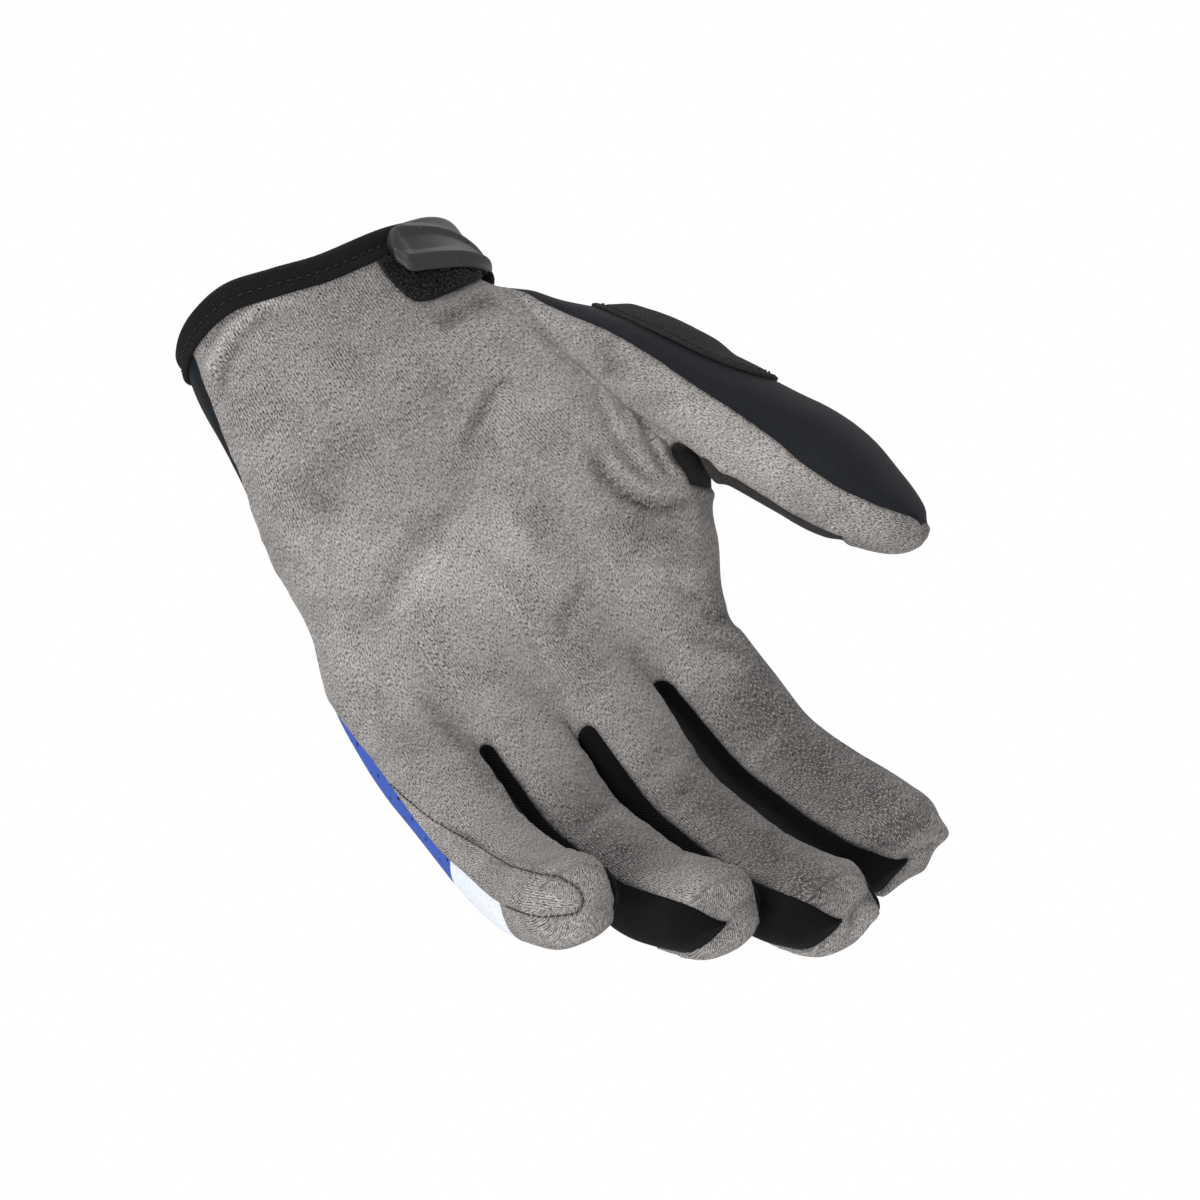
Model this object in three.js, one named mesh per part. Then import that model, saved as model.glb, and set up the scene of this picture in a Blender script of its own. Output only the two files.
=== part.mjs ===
// Motocross glove for the left hand, shown in the shape that a relaxed hand gives it.
// Millimetres. The fingers point down (-Z), the palm faces -Y and the thumb is on the +X side.
// The origin is the centre of the wrist opening.
import * as THREE from 'three';

// Driving dimensions
const wrist = { width: 64, palmDepth: 19, backDepth: 19 };
const hand = { width: 97, palmDepth: 12.5, backDepth: 10.5 };
const cloth = { palm: 1.5, back: 1.5, side: 1.0, overlay: 1.0, gap: 0.19, lift: 0.3 };
const cuff = { width: 6.0, thickness: 1.0, fold: 1.2 };
const W = wrist.width / 2;
const H = hand.width / 2;

// Outline of the hand without the thumb, one row per section down from the wrist opening
const PALM = [
  // t, centre x, half width, centre y, depth in front, depth behind, squareness
  [-8, -1.2, W - 0.6, 0, wrist.palmDepth + 1, wrist.backDepth + 1, 2.25],
  [10, -4.0, W + 1.6, 0, wrist.palmDepth, wrist.backDepth - 1, 2.3],
  [22, -4.2, W + 2.8, 0, wrist.palmDepth - 0.3, wrist.backDepth - 2, 2.3],
  [32, -3.7, W + 5.0, 0, wrist.palmDepth - 0.5, wrist.backDepth - 2.5, 2.3],
  [50, -3.5, H - 6.6, 0, 17.5, 15, 2.35],
  [70, -3.8, H - 4.3, 0, 16, 13.5, 2.4],
  [85, -3.0, H + 1.5, 0, 14, 12, 2.5],
  [100, -4.1, H + 1.8, -0.5, hand.palmDepth, hand.backDepth, 2.6],
  [117, -6.3, H - 1.3, -1, 11, 10, 2.6],
  [135, -7.5, H - 4.5, -1, 10.5, 9.5, 2.6],
];

// The five digits: where each starts, how it is turned and bent, and how long its parts are
const DIGITS = {
  little: {
    base: [-43.9, -2.8], start: 95.8, spread: -9.6, roll: 5.4, bend: [21.2, 24.1, 16.8],
    bones: [5.0, 36.4, 20.6, 23.2], half: 9.8, depth: 9.2, blend: [84, 112], square: 2.6,
  },
  ring: {
    base: [-24.4, -0.9], start: 94.3, spread: -7.0, roll: 14.3, bend: [11.1, 23.2, 18.8],
    bones: [4.7, 41.1, 25.7, 26.8], half: 10.05, depth: 9.4, blend: [86, 115], square: 2.6,
  },
  middle: {
    base: [-3.8, -0.8], start: 96.3, spread: -5.3, roll: 15.0, bend: [8.1, 22.2, 18.6],
    bones: [4.8, 46.1, 28.8, 25.7], half: 10.2, depth: 9.9, blend: [88, 118], square: 2.6,
  },
  index: {
    base: [19.2, 1.1], start: 99.0, spread: 2.2, roll: -1.5, bend: [1.0, 33.0, 8.8],
    bones: [4.8, 42.3, 24.3, 24.9], half: 11.1, depth: 10.9, blend: [84, 122], square: 2.6,
  },
  thumb: {
    base: [35.4, -13.5], start: 39.0, spread: 26.9, roll: -50.0, bend: [3.0, 2.3, 8.8],
    bones: [7.2, 36.5, 23.3, 28.7], half: 12.3, depth: 12.3, blend: [18, 64], square: 2.3,
    innerBlend: [40, 80], innerAngle: -84, tip: 24, lean: 0.5, leanAngle: 120,
  },
};

// How much wider and deeper the thumb is towards its root
const THUMB_GIRTH = [
  // distance from the root, width factor, depth factor
  [-30, 1.15, 1.1],
  [0, 0.95, 1.04],
  [25, 0.79, 0.96],
  [48, 0.935, 0.95],
  [68, 1.035, 0.98],
  [82, 0.80, 0.955],
  [95, 0.69, 0.86],
];

// How far the root of the thumb draws the radial side of the hand out and forward
const THUMB_PULL = [
  // t, outward, forward
  [14, 0, 0], [22, 0.6, 0.5], [31, 3.8, 3.1], [42, 2.8, 4.6], [58, 4.2, 6.2], [72, 6.2, 4.5], [86, 1.5, 0.8],
  [100, 0, 0],
];

// Height of the wrist opening round the cuff, in degrees from the middle of the palm
const MOUTH = [
  // angle, t
  [-180, -0.5], [-135, -1.4], [-90, -1.6], [-60, -3.0], [-40, -3.0], [-20, 0.1], [0, 2.9],
  [30, 4.0], [60, 5.5], [90, 6.0], [120, 4.5], [150, 1.5], [180, -0.5],
];

// Columns of the pattern: angle on the palm section and angle on the digit, left edge then right edge
const FRONT = {
  little: { palm: [-62, -34.2], digit: [-50, 55] },
  ring: { palm: [-31.5, -10.2], digit: [-55, 55] },
  middle: { palm: [-8.3, 13.4], digit: [-55, 55] },
  index: { palm: [18.6, 36], digit: [-55, 55] },
};
const BACK = {
  index: { palm: [112, 161.4], digit: [105, 235] },
  middle: { palm: [166.6, 188.3], digit: [125, 235] },
  ring: { palm: [190.2, 211.5], digit: [125, 235] },
};
const THUMB_INNER = { aside: 4, digit: -38 };
const THUMB_BACK = { palm: 108, digit: -130 };
const RADIAL = { palm: 112, digit: 105 };

// Seams that wander, one row per level below the wrist opening
const ULNAR_SEAM = [
  // t, angle on the palm section, angle on the little finger
  [-8, -76, -76], [12, -80, -80], [26, -94, -94], [50, -104, -100], [78, -100, -98],
  [95, -88, -86], [108, -84, -84], [121, -80, -83], [137, -74, -73], [148, -70, -71], [160, -70, -76],
  [190, -70, -78],
];
const THUMB_OUTER_SEAM = [
  // t, angle on the palm section, angle on the thumb
  [-8, 64, 24], [26, 69, 35], [45, 80, 50], [60, 80, 46], [72, 80, 36.5], [84, 80, 29.5], [90, 80, 25.5],
  [97, 80, 19.5], [104, 80, 20], [108, 80, 23], [112, 80, 29.5], [115, 80, 35], [118, 80, 44], [120, 80, 54],
  [122, 80, 68], [125, 80, 80],
];

// Ends of the finger slots and of the thumb crotch, and the reach of the suede over the tips
const SLOT = { ulnar: 112, little: 117, ring: 124.5, middle: 122, thumb: 80 };
const HOOD = { back: 20, round: 17, side: 3.5, thumbSide: 14, thumbTip: 1.5 };
const STRIP = { from: 55, to: 125, end: 97 };

// Plates laid over the cloth
const LOOP = [
  // palm angle, lower edge t
  [19, 14], [20.5, 20], [24, 22.8], [32, 23.8], [42, 23.8], [52, 23.2], [62, 22.2], [71, 21], [80, 19.5],
];
const TAB = [
  // palm angle, upper edge t, lower edge t
  [24.5, 8.5, 12.5], [26.5, 6.5, 15.6], [30.5, 5.0, 16.8], [43, 4.8, 18.9], [53, 5.2, 20.2],
  [62, 6, 21.5], [75, 7.5, 22.5], [90, 9, 23], [120, 9, 22.5], [140, 8.5, 21], [150, 10, 19.5],
];
const KNUCKLE = { t: 63.5, angle: 122, halfLength: 19.5, halfAngle: 41, flange: 1.0, dome: 1.5 };
const OVERLAY = [
  // t, left edge and right edge as angles on the little finger
  [104, -82, -80], [110, -81, -73], [116, -80, -65], [124, -78, -51], [132, -73, -40], [142, -69, -31],
  [154, -73, -25], [164, -79, -21], [171, -83, -19.5], [175.5, -85, -18.5], [178.2, -83, -20], [179.5, -74, -28],
];

const rad = THREE.MathUtils.degToRad;
const lerp = (a, b, f) => a + (b - a) * f;
const smooth = (x) => THREE.MathUtils.smoothstep(x, 0, 1);
const vec = (x, y, z) => new THREE.Vector3(x, y, z);
const wrapped = (angle) => ((angle + 180) % 360 + 360) % 360 - 180;
const steps = (n) => Array.from({ length: n + 1 }, (_, i) => i / n);

// Smooth reading of a table whose first column is the station
function along(rows, t) {
  const n = rows.length;
  const k = Math.min(Math.max(t, rows[0][0]), rows[n - 1][0]);
  let i = 0;
  while (i < n - 2 && rows[i + 1][0] <= k) i += 1;
  const slope = (j, c) => {
    const a = rows[Math.max(j - 1, 0)];
    const b = rows[Math.min(j + 1, n - 1)];
    return (b[c] - a[c]) / (b[0] - a[0]);
  };
  const h = rows[i + 1][0] - rows[i][0];
  const u = (k - rows[i][0]) / h;
  const out = [];
  for (let c = 1; c < rows[0].length; c += 1) {
    out.push(rows[i][c] * (1 + 2 * u) * (1 - u) ** 2 + slope(i, c) * h * u * (1 - u) ** 2
      + rows[i + 1][c] * u * u * (3 - 2 * u) + slope(i + 1, c) * h * u * u * (u - 1));
  }
  return out;
}

// Point of a rounded oval at an angle from its front, as shares of its half width and depth
function oval(angle, square) {
  const s = Math.sin(rad(angle));
  const c = Math.cos(rad(angle));
  const r = (Math.abs(s) ** square + Math.abs(c) ** square) ** (-1 / square);
  return [r * s, r * c];
}

// Surface of the hand without fingers, t millimetres below the wrist opening
function palmPoint(angle, t) {
  const [cx, half, cy, front, back, square] = along(PALM, t);
  const [x, y] = oval(angle, square);
  const facing = y > 0 ? 1 : 0;
  const hollow = 3.2 * Math.exp(-(((x - 0.05) / 0.42) ** 2)) * Math.exp(-(((t - 62) / 26) ** 2)) * facing;
  const thenar = 1.0 * Math.exp(-(((x - 0.7) / 0.3) ** 2)) * Math.exp(-(((t - 42) / 24) ** 2)) * facing;
  const [out, forward] = along(THUMB_PULL, t);
  const turn = wrapped(angle);
  const pull = turn < 75 ? smooth((turn - 12) / 63) : 1 - smooth((turn - 75) / 70);
  return vec(
    cx + half * x + out * pull,
    cy - (y > 0 ? front : back) * y + (hollow - thenar) * y - forward * pull,
    -t,
  );
}

// Centre line and directions of a digit, s millimetres from its root
function spine(digit, s) {
  const sp = rad(digit.spread);
  const ro = rad(digit.roll);
  const down = vec(Math.sin(sp), 0, -Math.cos(sp));
  const side = vec(Math.cos(sp), 0, Math.sin(sp));
  const pad = vec(0, -Math.cos(ro), 0).addScaledVector(side, Math.sin(ro));
  const across = side.clone().multiplyScalar(Math.cos(ro)).add(vec(0, Math.sin(ro), 0));
  const angle = (p) => {
    let joint = 0;
    let total = 0;
    for (let i = 0; i < 3; i += 1) {
      joint += digit.bones[i];
      total += rad(digit.bend[i]) * smooth((p - joint) / 16 + 0.5);
    }
    return total;
  };
  const centre = vec(digit.base[0], digit.base[1], -digit.start);
  const parts = 60;
  const far = Math.max(s, 0);
  for (let i = 0; i < parts; i += 1) {
    const a = angle((i + 0.5) * far / parts);
    centre.addScaledVector(down, Math.cos(a) * far / parts);
    centre.addScaledVector(pad, Math.sin(a) * far / parts);
  }
  centre.addScaledVector(down, Math.min(s, 0));
  const end = angle(far);
  const out = pad.clone().multiplyScalar(Math.cos(end)).addScaledVector(down, -Math.sin(end));
  return { centre, across, out };
}

const lengthOf = (digit) => digit.bones.reduce((a, b) => a + b, 0);
const slant = (digit) => (digit === DIGITS.thumb ? 1 / Math.cos(rad(digit.spread)) : 1);
const reach = (digit, s) => digit.start + s / slant(digit);

function digitPoint(digit, angle, s) {
  const total = lengthOf(digit);
  const { centre, across, out } = spine(digit, Math.min(s, total));
  const rounding = digit.tip ?? 9;
  const k = Math.min(Math.max((s - total + rounding) / rounding, 0), 1);
  const cap = (1 - k ** 2.4) ** (1 / 2.4);
  const [leanX, leanY] = oval(digit.leanAngle ?? 0, 2).map((c) => c * (digit.lean ?? 0) * (1 - cap));
  const girth = digit === DIGITS.thumb ? along(THUMB_GIRTH, s) : [1, 1];
  const full = digit === DIGITS.thumb ? 0 : 0.8 * (1 - smooth((s - 15) / 35));
  const [x, y] = oval(angle, digit.square + full);
  return centre.addScaledVector(across, digit.half * cap * girth[0] * x + leanX)
    .addScaledVector(out, digit.depth * cap * girth[1] * y + leanY);
}

// The glove's outer face in a digit's column: hand at the wrist end, digit at the other
function gloved(digit, palmAngle, digitAngle, t) {
  const inner = digit.innerBlend ? smooth((Math.cos(rad(digitAngle - digit.innerAngle)) + 0.2) / 1.2) : 0;
  const [from, to] = digit.blend.map((b, i) => lerp(b, (digit.innerBlend ?? digit.blend)[i], inner));
  const w = smooth((t - from) / (to - from));
  const tube = w > 0 ? digitPoint(digit, digitAngle, (t - digit.start) * slant(digit)) : vec(0, 0, 0);
  return w >= 1 ? tube : palmPoint(palmAngle, t).lerp(tube, w);
}

// A strip of that face between two pairs of angles: u across, t down
const strip = (name, palm, digit) => (u, t) => gloved(DIGITS[name], lerp(...palm, u), lerp(...digit, u), t);

// Every column of the face, u from its left edge to its right edge as the angle grows
const column = Object.fromEntries(Object.keys(FRONT).map((n) => [n, strip(n, FRONT[n].palm, FRONT[n].digit)]));
const behind = Object.fromEntries(Object.keys(BACK).map((n) => [n, strip(n, BACK[n].palm, BACK[n].digit)]));
const seamed = (table, make) => (u, t) => make(...along(table, t))(u, t);
// The line that parts the index finger's cloth from the thumb's moves outwards down to the crotch
const parting = (t) => lerp(FRONT.index.palm[1], 52, smooth(t / SLOT.thumb));
const besideParting = (t) => parting(t) + THUMB_INNER.aside;
column.index = (u, t) => strip('index', [FRONT.index.palm[0], parting(t)], FRONT.index.digit)(u, t);
const radialSide = (u, t) => strip('index', [parting(t), RADIAL.palm], [55, RADIAL.digit])(u, t);
const thumbInner = (u, t) => strip(
  'thumb',
  [THUMB_BACK.palm, besideParting(t)],
  [THUMB_BACK.digit, THUMB_INNER.digit],
)(u, t);
const ulnarSide = seamed(ULNAR_SEAM, (p, d) => strip('little', [p, -62], [d, -50]));
behind.little = seamed(ULNAR_SEAM, (p, d) => strip('little', [214.2, 360 + p], [125, 360 + d]));
const thumbFront = (u, t) => {
  const [p, d] = along(THUMB_OUTER_SEAM, t);
  return strip('thumb', [besideParting(t), p], [THUMB_INNER.digit, d])(u, t);
};
const thumbRear = seamed(THUMB_OUTER_SEAM, (p, d) => strip('thumb', [p, THUMB_BACK.palm], [d, 360 + THUMB_BACK.digit]));

// Cloth between two neighbouring columns, carried along by both of their edges
function between(edgeA, edgeB, anglesAt) {
  return (q, t) => {
    const [a, b] = anglesAt(t);
    const f = smooth(q);
    return palmPoint(lerp(a, b, q), t)
      .addScaledVector(edgeA(t).sub(palmPoint(a, t)), 1 - f)
      .addScaledVector(edgeB(t).sub(palmPoint(b, t)), f);
  };
}

// Round end of a slot: q from the left digit to the right one, w from the front seam to the back seam
function saddle(sideA, sideB, t, rise = 0) {
  return (q, w) => {
    const a = sideA(w, t);
    const b = sideB(w, t);
    const turn = Math.acos(1 - 2 * q);
    const half = b.clone().sub(a).multiplyScalar(0.5);
    return a.add(b).multiplyScalar(0.5).addScaledVector(half, -Math.cos(turn))
      .add(vec(0, 0, (1 - rise * w) * half.length() * Math.sin(turn)));
  };
}

// The three gaps between fingers: walls go from the front seam to the back seam
const GAPS = [['little', 'ring'], ['ring', 'middle'], ['middle', 'index']].map(([left, right]) => {
  const front = [FRONT[left].palm[1], FRONT[right].palm[0]];
  const back = [180 - front[1], 180 - front[0]];
  const across = (w, f) => lerp(STRIP.end, lerp(STRIP.from, STRIP.to, w), f);
  const wallA = (w, t, f = 1) => gloved(DIGITS[left], front[0], across(w, f), t);
  const wallB = (w, t, f = 1) => gloved(DIGITS[right], front[1], -across(w, f), t);
  const end = SLOT[left];
  return { left, right, front, back, wallA, wallB, end, saddle: saddle(wallA, wallB, end) };
});
const crotch = saddle(radialSide, (w, t) => thumbInner(1 - w, t), SLOT.thumb, 0.6);
const joinFront = between((t) => column.index(1, t), (t) => thumbFront(0, t), (t) => [parting(t), besideParting(t)]);
const joinBack = between((t) => thumbRear(1, t), (t) => behind.index(0, t), () => [THUMB_BACK.palm, RADIAL.palm]);

// The glove's face at any angle round the hand above the crotch
function skin(angle, t) {
  const [a, b] = [parting(t), besideParting(t)];
  if (angle <= a || angle >= RADIAL.palm) return palmPoint(angle, t);
  const seam = along(THUMB_OUTER_SEAM, t)[0];
  if (angle < b) return joinFront((angle - a) / (b - a), t);
  if (angle < seam) return thumbFront((angle - b) / (seam - b), t);
  if (angle < THUMB_BACK.palm) return thumbRear((angle - seam) / (THUMB_BACK.palm - seam), t);
  return joinBack((angle - THUMB_BACK.palm) / (RADIAL.palm - THUMB_BACK.palm), t);
}

// A sheet of cloth: welded points on the outer face, with faces turned outwards
class Sheet {
  constructor() {
    this.points = [];
    this.rise = [];
    this.faces = [];
    this.index = new Map();
    this.shared = null;
  }

  add(p) {
    const key = [p.x, p.y, p.z].map((c) => Math.round(c * 500)).join();
    if (!this.index.has(key)) {
      this.index.set(key, this.points.length);
      this.points.push(p.clone());
      this.rise.push(0);
    }
    return this.index.get(key);
  }

  // Grid over two lists of shares; place(u, v) gives the point and rise(u, v) its height over the cloth
  patch(us, vs, place, flip = false, rise = null) {
    const ids = vs.map((v) => us.map((u) => {
      const id = this.add(place(u, v));
      if (rise) this.rise[id] = rise(u, v);
      return id;
    }));
    for (let j = 0; j + 1 < vs.length; j += 1) {
      for (let i = 0; i + 1 < us.length; i += 1) {
        const ring = [ids[j][i], ids[j + 1][i], ids[j + 1][i + 1], ids[j][i + 1]];
        const face = ring.filter((a, n) => a !== ring[(n + 3) % 4]);
        if (face.length > 2) this.faces.push(flip ? face.reverse() : face);
      }
    }
    return this;
  }

  triangles() {
    return this.faces.flatMap((f) => (f.length === 4 ? [[f[0], f[1], f[2]], [f[0], f[2], f[3]]] : [f]));
  }

  normals() {
    if (this.shared) return this.shared;
    const out = this.points.map(() => vec(0, 0, 0));
    this.triangles().forEach(([a, b, c]) => {
      const e = this.points[b].clone().sub(this.points[a]);
      const n = e.cross(this.points[c].clone().sub(this.points[a]));
      [a, b, c].forEach((i) => out[i].add(n));
    });
    return out.map((n) => n.normalize());
  }

  // Take the directions of a sheet that holds this one and its neighbours, so that seams stay parallel
  follow(whole) {
    const all = whole.normals();
    this.shared = this.points.map((p) => all[whole.add(p)].clone());
    return this;
  }

  join(other) {
    const ids = other.points.map((p) => this.add(p));
    other.faces.forEach((f) => this.faces.push(f.map((i) => ids[i])));
    return this;
  }

  rim() {
    const seen = new Set(this.faces.flatMap((f) => f.map((a, i) => `${a},${f[(i + 1) % f.length]}`)));
    return [...seen].map((e) => e.split(',').map(Number)).filter(([a, b]) => !seen.has(`${b},${a}`));
  }

  // Draw the free edges in by half of the seam's gap
  drawIn(amount) {
    const normals = this.normals();
    const pull = new Map();
    this.rim().forEach(([a, b]) => {
      const edge = this.points[b].clone().sub(this.points[a]).normalize();
      [a, b].forEach((i) => {
        const inward = normals[i].clone().cross(edge).normalize();
        pull.set(i, [...(pull.get(i) ?? []), inward]);
      });
    });
    pull.forEach((list, i) => {
      const sum = list.reduce((s, d) => s.add(d), vec(0, 0, 0));
      const size = Math.max(sum.lengthSq() / list.length, 0.5);
      this.points[i].addScaledVector(sum, amount / size);
    });
    return this;
  }

  // Closed slab of a given thickness under the face, or over it where the sheet has a rise
  slab(high, low) {
    const normals = this.normals();
    const n = this.points.length;
    const at = (h, r) => this.points.map((p, i) => p.clone().addScaledVector(normals[i], h + r * this.rise[i]));
    const points = [...at(high, 1), ...at(low, 0)];
    const tris = this.triangles();
    const out = [...tris, ...tris.map(([a, b, c]) => [a + n, c + n, b + n])];
    this.rim().forEach(([a, b]) => out.push([b, a, a + n], [b, a + n, b + n]));
    return { points, tris: out };
  }
}

const TWO = steps(2);
const THREE_WIDE = steps(3);
const FOUR = steps(4);
const SIX = steps(6);
const ROUND = FOUR.map((q) => (1 - Math.cos(Math.PI * q)) / 2);
const PALM_ROWS = [0, 0.08, 0.18, 0.32, 0.47, 0.62, 0.76, 0.89, 1];
const ROOT_ROWS = [0, 0.155, 0.34, 0.52, 0.7, 0.86, 1];
const FINGER_ROWS = steps(6);

// Levels of the hand: from the hem to the crotch, then to the ends of the slots
const mouth = (angle) => along(MOUTH, wrapped(angle))[0];
const upper = (angle, v) => lerp(mouth(angle) + cuff.fold, SLOT.thumb, v);
const lower = (end, v) => lerp(SLOT.thumb, end, v);
const ENDS = {
  little: [SLOT.ulnar, SLOT.little], ring: [SLOT.little, SLOT.ring],
  middle: [SLOT.ring, SLOT.middle], index: [SLOT.middle, SLOT.middle],
};
const ulnarTop = along(ULNAR_SEAM, 0)[0];
const outerTop = along(THUMB_OUTER_SEAM, 0)[0];
const joinTop = [parting(0), besideParting(0)];

// One column of the hand from the hem to the ends of the slots beside it
function handColumn(sheet, us, place, angles, ends) {
  sheet.patch(us, PALM_ROWS, (u, v) => place(u, upper(lerp(...angles, u), v)));
  sheet.patch(us, ROOT_ROWS, (u, v) => place(u, lower(lerp(...ends, u), v)));
}

// Cloth above a finger slot, down to the slot's round end
function slotTop(sheet, gap, side) {
  const front = side === 'front';
  const edges = front
    ? [(t) => column[gap.left](1, t), (t) => column[gap.right](0, t)]
    : [(t) => behind[gap.right](1, t), (t) => behind[gap.left](0, t)];
  const web = between(...edges, () => gap[side]);
  sheet.patch(ROUND, PALM_ROWS, (u, v) => web(u, upper(lerp(...gap[side], u), v)));
  sheet.patch(ROUND, ROOT_ROWS, (u, v) => {
    if (v < 1) return web(u, lower(gap.end, v));
    return front ? gap.saddle(u, 0) : gap.saddle(1 - u, 1);
  });
}

// Stations along a digit: up to the hood, round the end of the side strip, and over the tip
function stations(digit) {
  const total = lengthOf(digit);
  return {
    total,
    hood: total - HOOD.back,
    near: [20, 17, 13.5, 10, 7.2, 5, HOOD.side].map((d) => total - d),
    cap: [HOOD.side, 2.1, 1, 0.3, 0].map((d) => total - d),
  };
}

// Share of the side strip's breadth near a fingertip, where it runs out like the end of a leaf
function taper(digit, s) {
  const k = (s - lengthOf(digit) + HOOD.round) / (HOOD.round - HOOD.side);
  return k <= 0 ? 1 : Math.sqrt(Math.max(1 - k * k, 0));
}

const rowAt = (digit, end, v) => {
  const s = (end - digit.start) * slant(digit);
  return reach(digit, lerp(s, lengthOf(digit) - HOOD.back, v));
};

// Front of a finger beyond its slots, the cap over its tip and the hood behind
function fingerSuede(sheet, name) {
  const digit = DIGITS[name];
  const { near, cap } = stations(digit);
  const ends = ENDS[name];
  const tube = (angle, s) => gloved(digit, 0, angle, reach(digit, s));
  const edge = (side, s) => lerp(STRIP.end, side, taper(digit, s));
  const front = (s) => [
    name === 'little' ? FRONT.little.digit[0] : -edge(STRIP.from, s),
    name === 'index' ? FRONT.index.digit[1] : edge(STRIP.from, s),
  ];
  const hood = (s) => [
    name === 'index' ? RADIAL.digit : edge(STRIP.to, s),
    360 + (name === 'little' ? along(ULNAR_SEAM, reach(digit, s))[1] : -edge(STRIP.to, s)),
  ];
  sheet.patch(FOUR, FINGER_ROWS, (u, v) => column[name](u, rowAt(digit, lerp(...ends, u), v)));
  [near, cap].forEach((list) => {
    sheet.patch(FOUR, list, (u, s) => tube(lerp(...front(s), u), s));
    sheet.patch(FOUR, list, (u, s) => tube(lerp(...hood(s), u), s));
  });
  const flank = { index: [radialSide, 1, THREE_WIDE], little: [ulnarSide, 0, TWO] }[name];
  if (flank) {
    sheet.patch(flank[2], FINGER_ROWS, (u, v) => flank[0](u, rowAt(digit, ends[flank[1]], v)));
    [near, cap].forEach((list) => sheet.patch(flank[2], list, (u, s) => flank[0](u, reach(digit, s))));
  }
}

const thumbRows = (() => {
  const total = lengthOf(DIGITS.thumb);
  const crossing = (SLOT.thumb - DIGITS.thumb.start) * slant(DIGITS.thumb);
  const side = total - HOOD.thumbSide;
  return {
    shaft: steps(5).map((v) => lerp(crossing, side, v)),
    near: [14, 11, 8, 5.3, 3.2, HOOD.thumbTip].map((d) => total - d),
    cap: [HOOD.thumbTip, 0.7, 0.25, 0].map((d) => total - d),
  };
})();
const thumbAt = (place) => (u, s) => place(u, reach(DIGITS.thumb, s));

function palmPanel() {
  const sheet = new Sheet();
  Object.keys(FRONT).forEach((name) => {
    handColumn(sheet, FOUR, column[name], FRONT[name].palm, ENDS[name]);
    fingerSuede(sheet, name);
  });
  GAPS.forEach((gap) => slotTop(sheet, gap, 'front'));
  handColumn(sheet, TWO, ulnarSide, [ulnarTop, -62], [SLOT.ulnar, SLOT.ulnar]);
  sheet.patch(THREE_WIDE, ROOT_ROWS.slice(1), (u, v) => radialSide(u, lower(SLOT.middle, v)));
  sheet.patch(ROUND, PALM_ROWS, (u, v) => (
    v === 1 ? crotch(u, 0) : joinFront(u, upper(lerp(...joinTop, u), v))));
  sheet.patch(FOUR, PALM_ROWS, (u, v) => thumbFront(u, upper(lerp(joinTop[1], outerTop, u), v)));
  sheet.patch(FOUR, thumbRows.shaft, thumbAt(thumbFront));
  [thumbRows.near, thumbRows.cap].forEach((list) => {
    sheet.patch(FOUR, list, thumbAt(thumbFront));
    sheet.patch(THREE_WIDE, list, thumbAt(thumbInner));
  });
  return sheet.patch(SIX, thumbRows.cap, thumbAt(thumbRear));
}

function backPanel() {
  const sheet = new Sheet();
  const spans = { ...Object.fromEntries(Object.keys(BACK).map((n) => [n, BACK[n].palm])), little: [214.2, 360 + ulnarTop] };
  Object.entries(spans).forEach(([name, span]) => {
    const ends = [...ENDS[name]].reverse();
    handColumn(sheet, FOUR, behind[name], span, ends);
    sheet.patch(FOUR, FINGER_ROWS, (u, v) => behind[name](u, rowAt(DIGITS[name], lerp(...ends, u), v)));
  });
  GAPS.forEach((gap) => slotTop(sheet, gap, 'back'));
  return sheet.patch(ROUND, PALM_ROWS, (u, v) => (
    v === 1 ? crotch(1 - u, 1) : joinBack(u, upper(lerp(THUMB_BACK.palm, RADIAL.palm, u), v))));
}

// Strip that lines both sides of a finger slot and the web between them
function fourchette(gap) {
  const sheet = new Sheet();
  [['left', 'wallA', true], ['right', 'wallB', false]].forEach(([which, wall, flip]) => {
    const digit = DIGITS[gap[which]];
    sheet.patch(THREE_WIDE, FINGER_ROWS, (w, v) => gap[wall](w, rowAt(digit, gap.end, v)), !flip);
    sheet.patch(THREE_WIDE, stations(digit).near, (w, s) => gap[wall](w, reach(digit, s), taper(digit, s)), !flip);
  });
  return sheet.patch(ROUND, THREE_WIDE, (q, w) => gap.saddle(q, w));
}

function crotchPatch() {
  const sheet = new Sheet();
  sheet.patch(THREE_WIDE, [0, ROOT_ROWS[1]], (w, v) => radialSide(w, lower(SLOT.middle, v)));
  sheet.patch(ROUND, THREE_WIDE, (q, w) => crotch(q, w));
  return sheet.patch(THREE_WIDE, thumbRows.shaft, thumbAt(thumbInner));
}

function thumbBackPanel() {
  const sheet = new Sheet();
  sheet.patch(SIX, PALM_ROWS, (u, v) => thumbRear(u, upper(lerp(outerTop, THUMB_BACK.palm, u), v)));
  [thumbRows.shaft, thumbRows.near].forEach((list) => sheet.patch(SIX, list, thumbAt(thumbRear)));
  return sheet;
}

// Domed pad over the thumb's knuckle, with a thin stitched flange
function knucklePad() {
  const sheet = new Sheet();
  const around = steps(24);
  const place = (a, r) => {
    const s = Math.sin(2 * Math.PI * a);
    const c = Math.cos(2 * Math.PI * a);
    const k = r * (Math.abs(s) ** 2.5 + Math.abs(c) ** 2.5) ** (-1 / 2.5);
    const t = KNUCKLE.t + KNUCKLE.halfLength * k * c;
    const angle = KNUCKLE.angle + KNUCKLE.halfAngle * k * s;
    const [, d] = along(THUMB_OUTER_SEAM, t);
    return thumbRear((angle - d) / (360 + THUMB_BACK.digit - d), t);
  };
  const dome = (a, r) => KNUCKLE.dome * (1 - smooth((r - 0.35) / 0.5));
  return sheet.patch(around, [0, 0.35, 0.55, 0.72, 0.85, 1], place, false, dome);
}

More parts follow.
